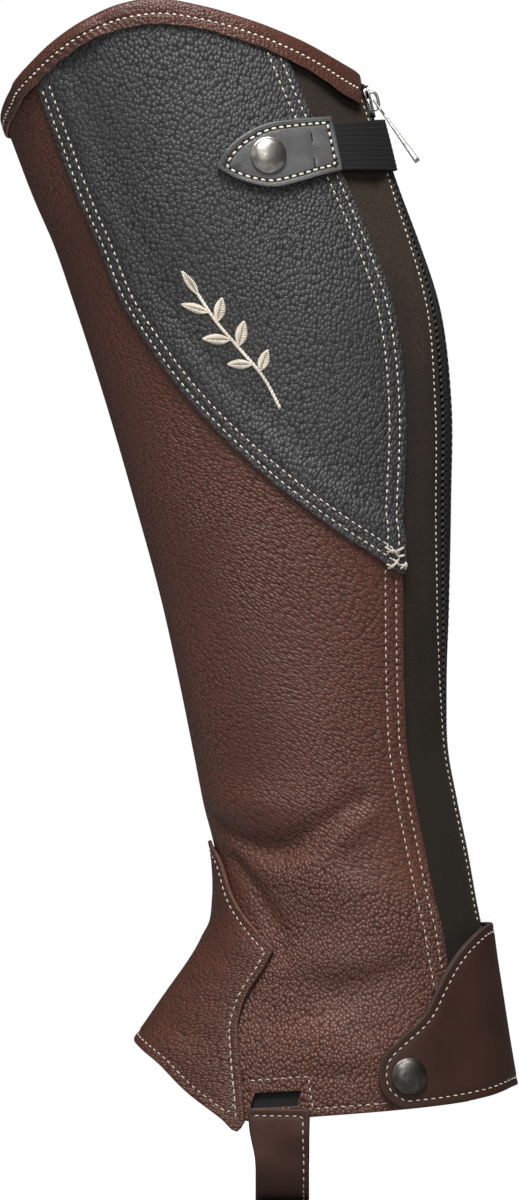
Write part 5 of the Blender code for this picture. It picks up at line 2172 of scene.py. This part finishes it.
def stage():
    """A pale floor, a pale surround, soft lights and the camera."""
    settings = bpy.context.scene.half_chap_stage
    scene = bpy.context.scene
    scene.view_settings.view_transform = "Standard"
    low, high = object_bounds()
    centre = (low + high) / 2

    bpy.ops.mesh.primitive_circle_add(vertices=96, radius=FLOOR_RADIUS, fill_type="NGON")
    floor = bpy.context.object
    floor.name = "floor"
    floor.location = (centre.x, 0, low.z - FLOOR_GAP)
    web = Web("floor_paper")
    fibres = web.noise(web.here(), 300, 2.0)
    web.bump(fibres, 0.05)
    seen = web.add("ShaderNodeLightPath", output="Is Camera Ray")
    web.set(Base_Color=(*tuple(settings.floor_colour), 1), Roughness=0.9)
    web.set(Emission_Color=(1, 1, 1, 1), Emission_Strength=web.sum((seen, settings.floor_glow)))
    floor.data.materials.append(web.material)
    floor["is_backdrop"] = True

    world = bpy.data.worlds.new("surround")
    scene.world = world
    world.use_nodes = True
    tree = world.node_tree
    lit = tree.nodes["Background"]
    lit.inputs["Color"].default_value = (0.93, 0.96, 1.0, 1)
    lit.inputs["Strength"].default_value = settings.surround
    seen = tree.nodes.new("ShaderNodeBackground")
    seen.inputs["Color"].default_value = (1, 1, 1, 1)
    seen.inputs["Strength"].default_value = 1.0
    ray = tree.nodes.new("ShaderNodeLightPath")
    mix = tree.nodes.new("ShaderNodeMixShader")
    tree.links.new(ray.outputs["Is Camera Ray"], mix.inputs[0])
    tree.links.new(lit.outputs[0], mix.inputs[1])
    tree.links.new(seen.outputs[0], mix.inputs[2])
    tree.links.new(mix.outputs[0], tree.nodes["World Output"].inputs["Surface"])

    lights = (
        # name, place, size, share of the power
        ("key", (-0.1, -1.1, 1.5), 0.8, 0.5),
        ("left", (-2.2, -1.4, 0.7), 1.2, 0.06),
        ("front", (0.1, -2.9, 0.7), 1.4, 0.2),
        ("back", (0.9, 2.0, 1.0), 1.4, 0.25),
        ("top", (0.4, -0.7, 2.3), 0.8, 0.2),
    )
    for name, place, size, share in lights:
        data = bpy.data.lights.new(name, "AREA")
        data.shape = "DISK"
        data.size = size
        data.energy = settings.power * share
        lamp = bpy.data.objects.new(name, data)
        lamp.location = place
        lamp.visible_glossy = name != "back"
        aim = Vector((centre.x, 0, centre.z)) - Vector(place)
        lamp.rotation_mode = "QUATERNION"
        lamp.rotation_quaternion = aim.to_track_quat("-Z", "Y")
        scene.collection.objects.link(lamp)

    data = bpy.data.cameras.new("camera")
    data.sensor_width = 36.0
    data.lens = data.sensor_width * CAMERA_DISTANCE / (FRAME_SIZE[1] * PIXEL)
    camera = bpy.data.objects.new("camera", data)
    x = (FRAME_SIZE[0] / 2 - ORIGIN_PIXEL[0]) * PIXEL
    z = (ORIGIN_PIXEL[1] - FRAME_SIZE[1] / 2) * PIXEL
    camera.location = (x, -CAMERA_DISTANCE, z)
    camera.rotation_euler = (math.radians(90), 0, 0)
    scene.collection.objects.link(camera)
    scene.camera = camera


# ---------------------------------------------------------------- settings


class HalfChapLeather(PropertyGroup):
    brown: FloatVectorProperty(
        name="Brown", description="Colour of the pebbled brown leather", subtype="COLOR",
        default=(0.078, 0.0275, 0.0175), min=0, max=1,
    )
    smooth_brown: FloatVectorProperty(
        name="Smooth Brown", description="Colour of the flap and the foot strap", subtype="COLOR",
        default=(0.032, 0.0138, 0.0092), min=0, max=1,
    )
    black: FloatVectorProperty(
        name="Black", description="Colour of the yoke and the tab", subtype="COLOR",
        default=(0.0210, 0.0210, 0.0208), min=0, max=1,
    )
    gusset: FloatVectorProperty(
        name="Gusset", description="Colour of the stretch cloth", subtype="COLOR",
        default=(0.028, 0.0215, 0.016), min=0, max=1,
    )
    webbing: FloatVectorProperty(
        name="Elastic", description="Colour of the elastic bands", subtype="COLOR",
        default=(0.0080, 0.0081, 0.0083), min=0, max=1,
    )
    grain_size: FloatProperty(
        name="Pebble Size", description="Width of one pebble of the grain in millimetres",
        default=1.75, min=0.5, max=5.0,
    )
    grain_depth: FloatProperty(
        name="Pebble Depth", description="Height of the grain in millimetres",
        default=0.6, min=0.0, max=2.0,
    )


class HalfChapSewing(PropertyGroup):
    thread_colour: FloatVectorProperty(
        name="Thread", description="Colour of the thread", subtype="COLOR",
        default=(0.60, 0.53, 0.44), min=0, max=1,
    )
    pitch: FloatProperty(
        name="Stitch", description="Length of one stitch and its gap in millimetres",
        default=3.05, min=1.0, max=8.0,
    )
    thickness: FloatProperty(
        name="Thread Thickness", description="Thickness of the thread in millimetres",
        default=0.56, min=0.2, max=2.0,
    )


class HalfChapTrim(PropertyGroup):
    zip_metal: FloatVectorProperty(
        name="Zip Metal", description="Colour of the slider and the pull", subtype="COLOR",
        default=(0.44, 0.44, 0.42), min=0, max=1,
    )
    snap_metal: FloatVectorProperty(
        name="Snap Metal", description="Colour of the snap caps", subtype="COLOR",
        default=(0.42, 0.40, 0.36), min=0, max=1,
    )
    tooth_pitch: FloatProperty(
        name="Tooth Pitch", description="Distance between teeth of one row in millimetres",
        default=2.6, min=1.0, max=5.0,
    )


class HalfChapStage(PropertyGroup):
    floor_colour: FloatVectorProperty(
        name="Floor", description="Colour of the floor", subtype="COLOR",
        default=(0.3, 0.3, 0.3), min=0, max=1,
    )
    floor_glow: FloatProperty(
        name="Floor Glow", description="Strength of the light through the floor", default=0.96,
        min=0.0,
    )
    power: FloatProperty(
        name="Light", description="Power of the main light", unit="POWER", default=120.0, min=0.0,
    )
    surround: FloatProperty(
        name="Surround", description="Strength of the light from all round", default=0.08, min=0.0,
    )


# ---------------------------------------------------------------- operators


class HALFCHAP_OT_panel(Operator):
    """Builds the main panel with its sewing"""

    bl_idname = "half_chap.panel"
    bl_label = "Main Panel"

    def execute(self, context):
        panel, stitches = main_panel()
        return {"FINISHED"}


class HALFCHAP_OT_yoke(Operator):
    """Builds the yoke with its sewing and its sprig"""

    bl_idname = "half_chap.yoke"
    bl_label = "Yoke"

    def execute(self, context):
        leather, *sewn = yoke()
        return {"FINISHED"}


class HALFCHAP_OT_gusset(Operator):
    """Builds the stretch gusset"""

    bl_idname = "half_chap.gusset"
    bl_label = "Gusset"

    def execute(self, context):
        cloth, stitches = gusset()
        return {"FINISHED"}


class HALFCHAP_OT_zip(Operator):
    """Builds the zip's tape, teeth, slider and pull"""

    bl_idname = "half_chap.zip"
    bl_label = "Zip"

    def execute(self, context):
        tape, end = zip_tape()
        zip_teeth()
        zip_slider()
        zip_pull()
        return {"FINISHED"}


class HALFCHAP_OT_binding(Operator):
    """Builds the top binding"""

    bl_idname = "half_chap.binding"
    bl_label = "Top Binding"

    def execute(self, context):
        binding, stitches = top_binding()
        return {"FINISHED"}


class HALFCHAP_OT_instep(Operator):
    """Builds the instep piece"""

    bl_idname = "half_chap.instep"
    bl_label = "Instep"

    def execute(self, context):
        leather, stitches = instep()
        return {"FINISHED"}


class HALFCHAP_OT_flap(Operator):
    """Builds the ankle flap and its snap"""

    bl_idname = "half_chap.flap"
    bl_label = "Ankle Flap"

    def execute(self, context):
        leather, stitches = ankle_flap()
        snap("ankle_snap", ANKLE_SNAP, LEATHER + FLAP_LEATHER + 2 * GAP, "dark_metal")
        return {"FINISHED"}


class HALFCHAP_OT_tab(Operator):
    """Builds the calf tab, its snap and its elastic band"""

    bl_idname = "half_chap.tab"
    bl_label = "Calf Tab"

    def execute(self, context):
        leather, stitches = calf_tab()
        snap("calf_snap", CALF_SNAP, YOKE_LEATHER + WIDE_GAP + TAB_LEATHER + GAP)
        band, sewn = calf_elastic()
        return {"FINISHED"}


class HALFCHAP_OT_strap(Operator):
    """Builds the foot strap and the elastic behind its slot"""

    bl_idname = "half_chap.strap"
    bl_label = "Foot Strap"

    def execute(self, context):
        leather, stitches = foot_strap()
        strap_elastic()
        return {"FINISHED"}


class HALFCHAP_OT_stage(Operator):
    """Sets up the floor, the lights and the camera"""

    bl_idname = "half_chap.stage"
    bl_label = "Stage"

    def execute(self, context):
        stage()
        return {"FINISHED"}


OPERATORS = (
    HALFCHAP_OT_panel,
    HALFCHAP_OT_yoke,
    HALFCHAP_OT_gusset,
    HALFCHAP_OT_zip,
    HALFCHAP_OT_binding,
    HALFCHAP_OT_instep,
    HALFCHAP_OT_flap,
    HALFCHAP_OT_tab,
    HALFCHAP_OT_strap,
    HALFCHAP_OT_stage,
)
GROUPS = {
    "half_chap_leather": HalfChapLeather,
    "half_chap_sewing": HalfChapSewing,
    "half_chap_trim": HalfChapTrim,
    "half_chap_stage": HalfChapStage,
}


class HALFCHAP_PT_sidebar(Panel):
    bl_label = "Half Chap"
    bl_idname = "HALFCHAP_PT_sidebar"
    bl_space_type = "VIEW_3D"
    bl_region_type = "UI"
    bl_category = "Half Chap"

    def draw(self, context):
        for name, group in GROUPS.items():
            box = self.layout.box()
            for setting in group.__annotations__:
                box.prop(getattr(context.scene, name), setting)
        for operator in OPERATORS:
            self.layout.operator(operator.bl_idname)


def register():
    for group in GROUPS.values():
        bpy.utils.register_class(group)
    for name, group in GROUPS.items():
        setattr(bpy.types.Scene, name, PointerProperty(type=group))
    for operator in OPERATORS:
        bpy.utils.register_class(operator)
    bpy.utils.register_class(HALFCHAP_PT_sidebar)


def unregister():
    bpy.utils.unregister_class(HALFCHAP_PT_sidebar)
    for operator in reversed(OPERATORS):
        bpy.utils.unregister_class(operator)
    for name in GROUPS:
        delattr(bpy.types.Scene, name)
    for group in GROUPS.values():
        bpy.utils.unregister_class(group)


def main():
    register()
    for operator in OPERATORS:
        group, name = operator.bl_idname.split(".")
        getattr(getattr(bpy.ops, group), name)()


if __name__ == "__main__":
    main()
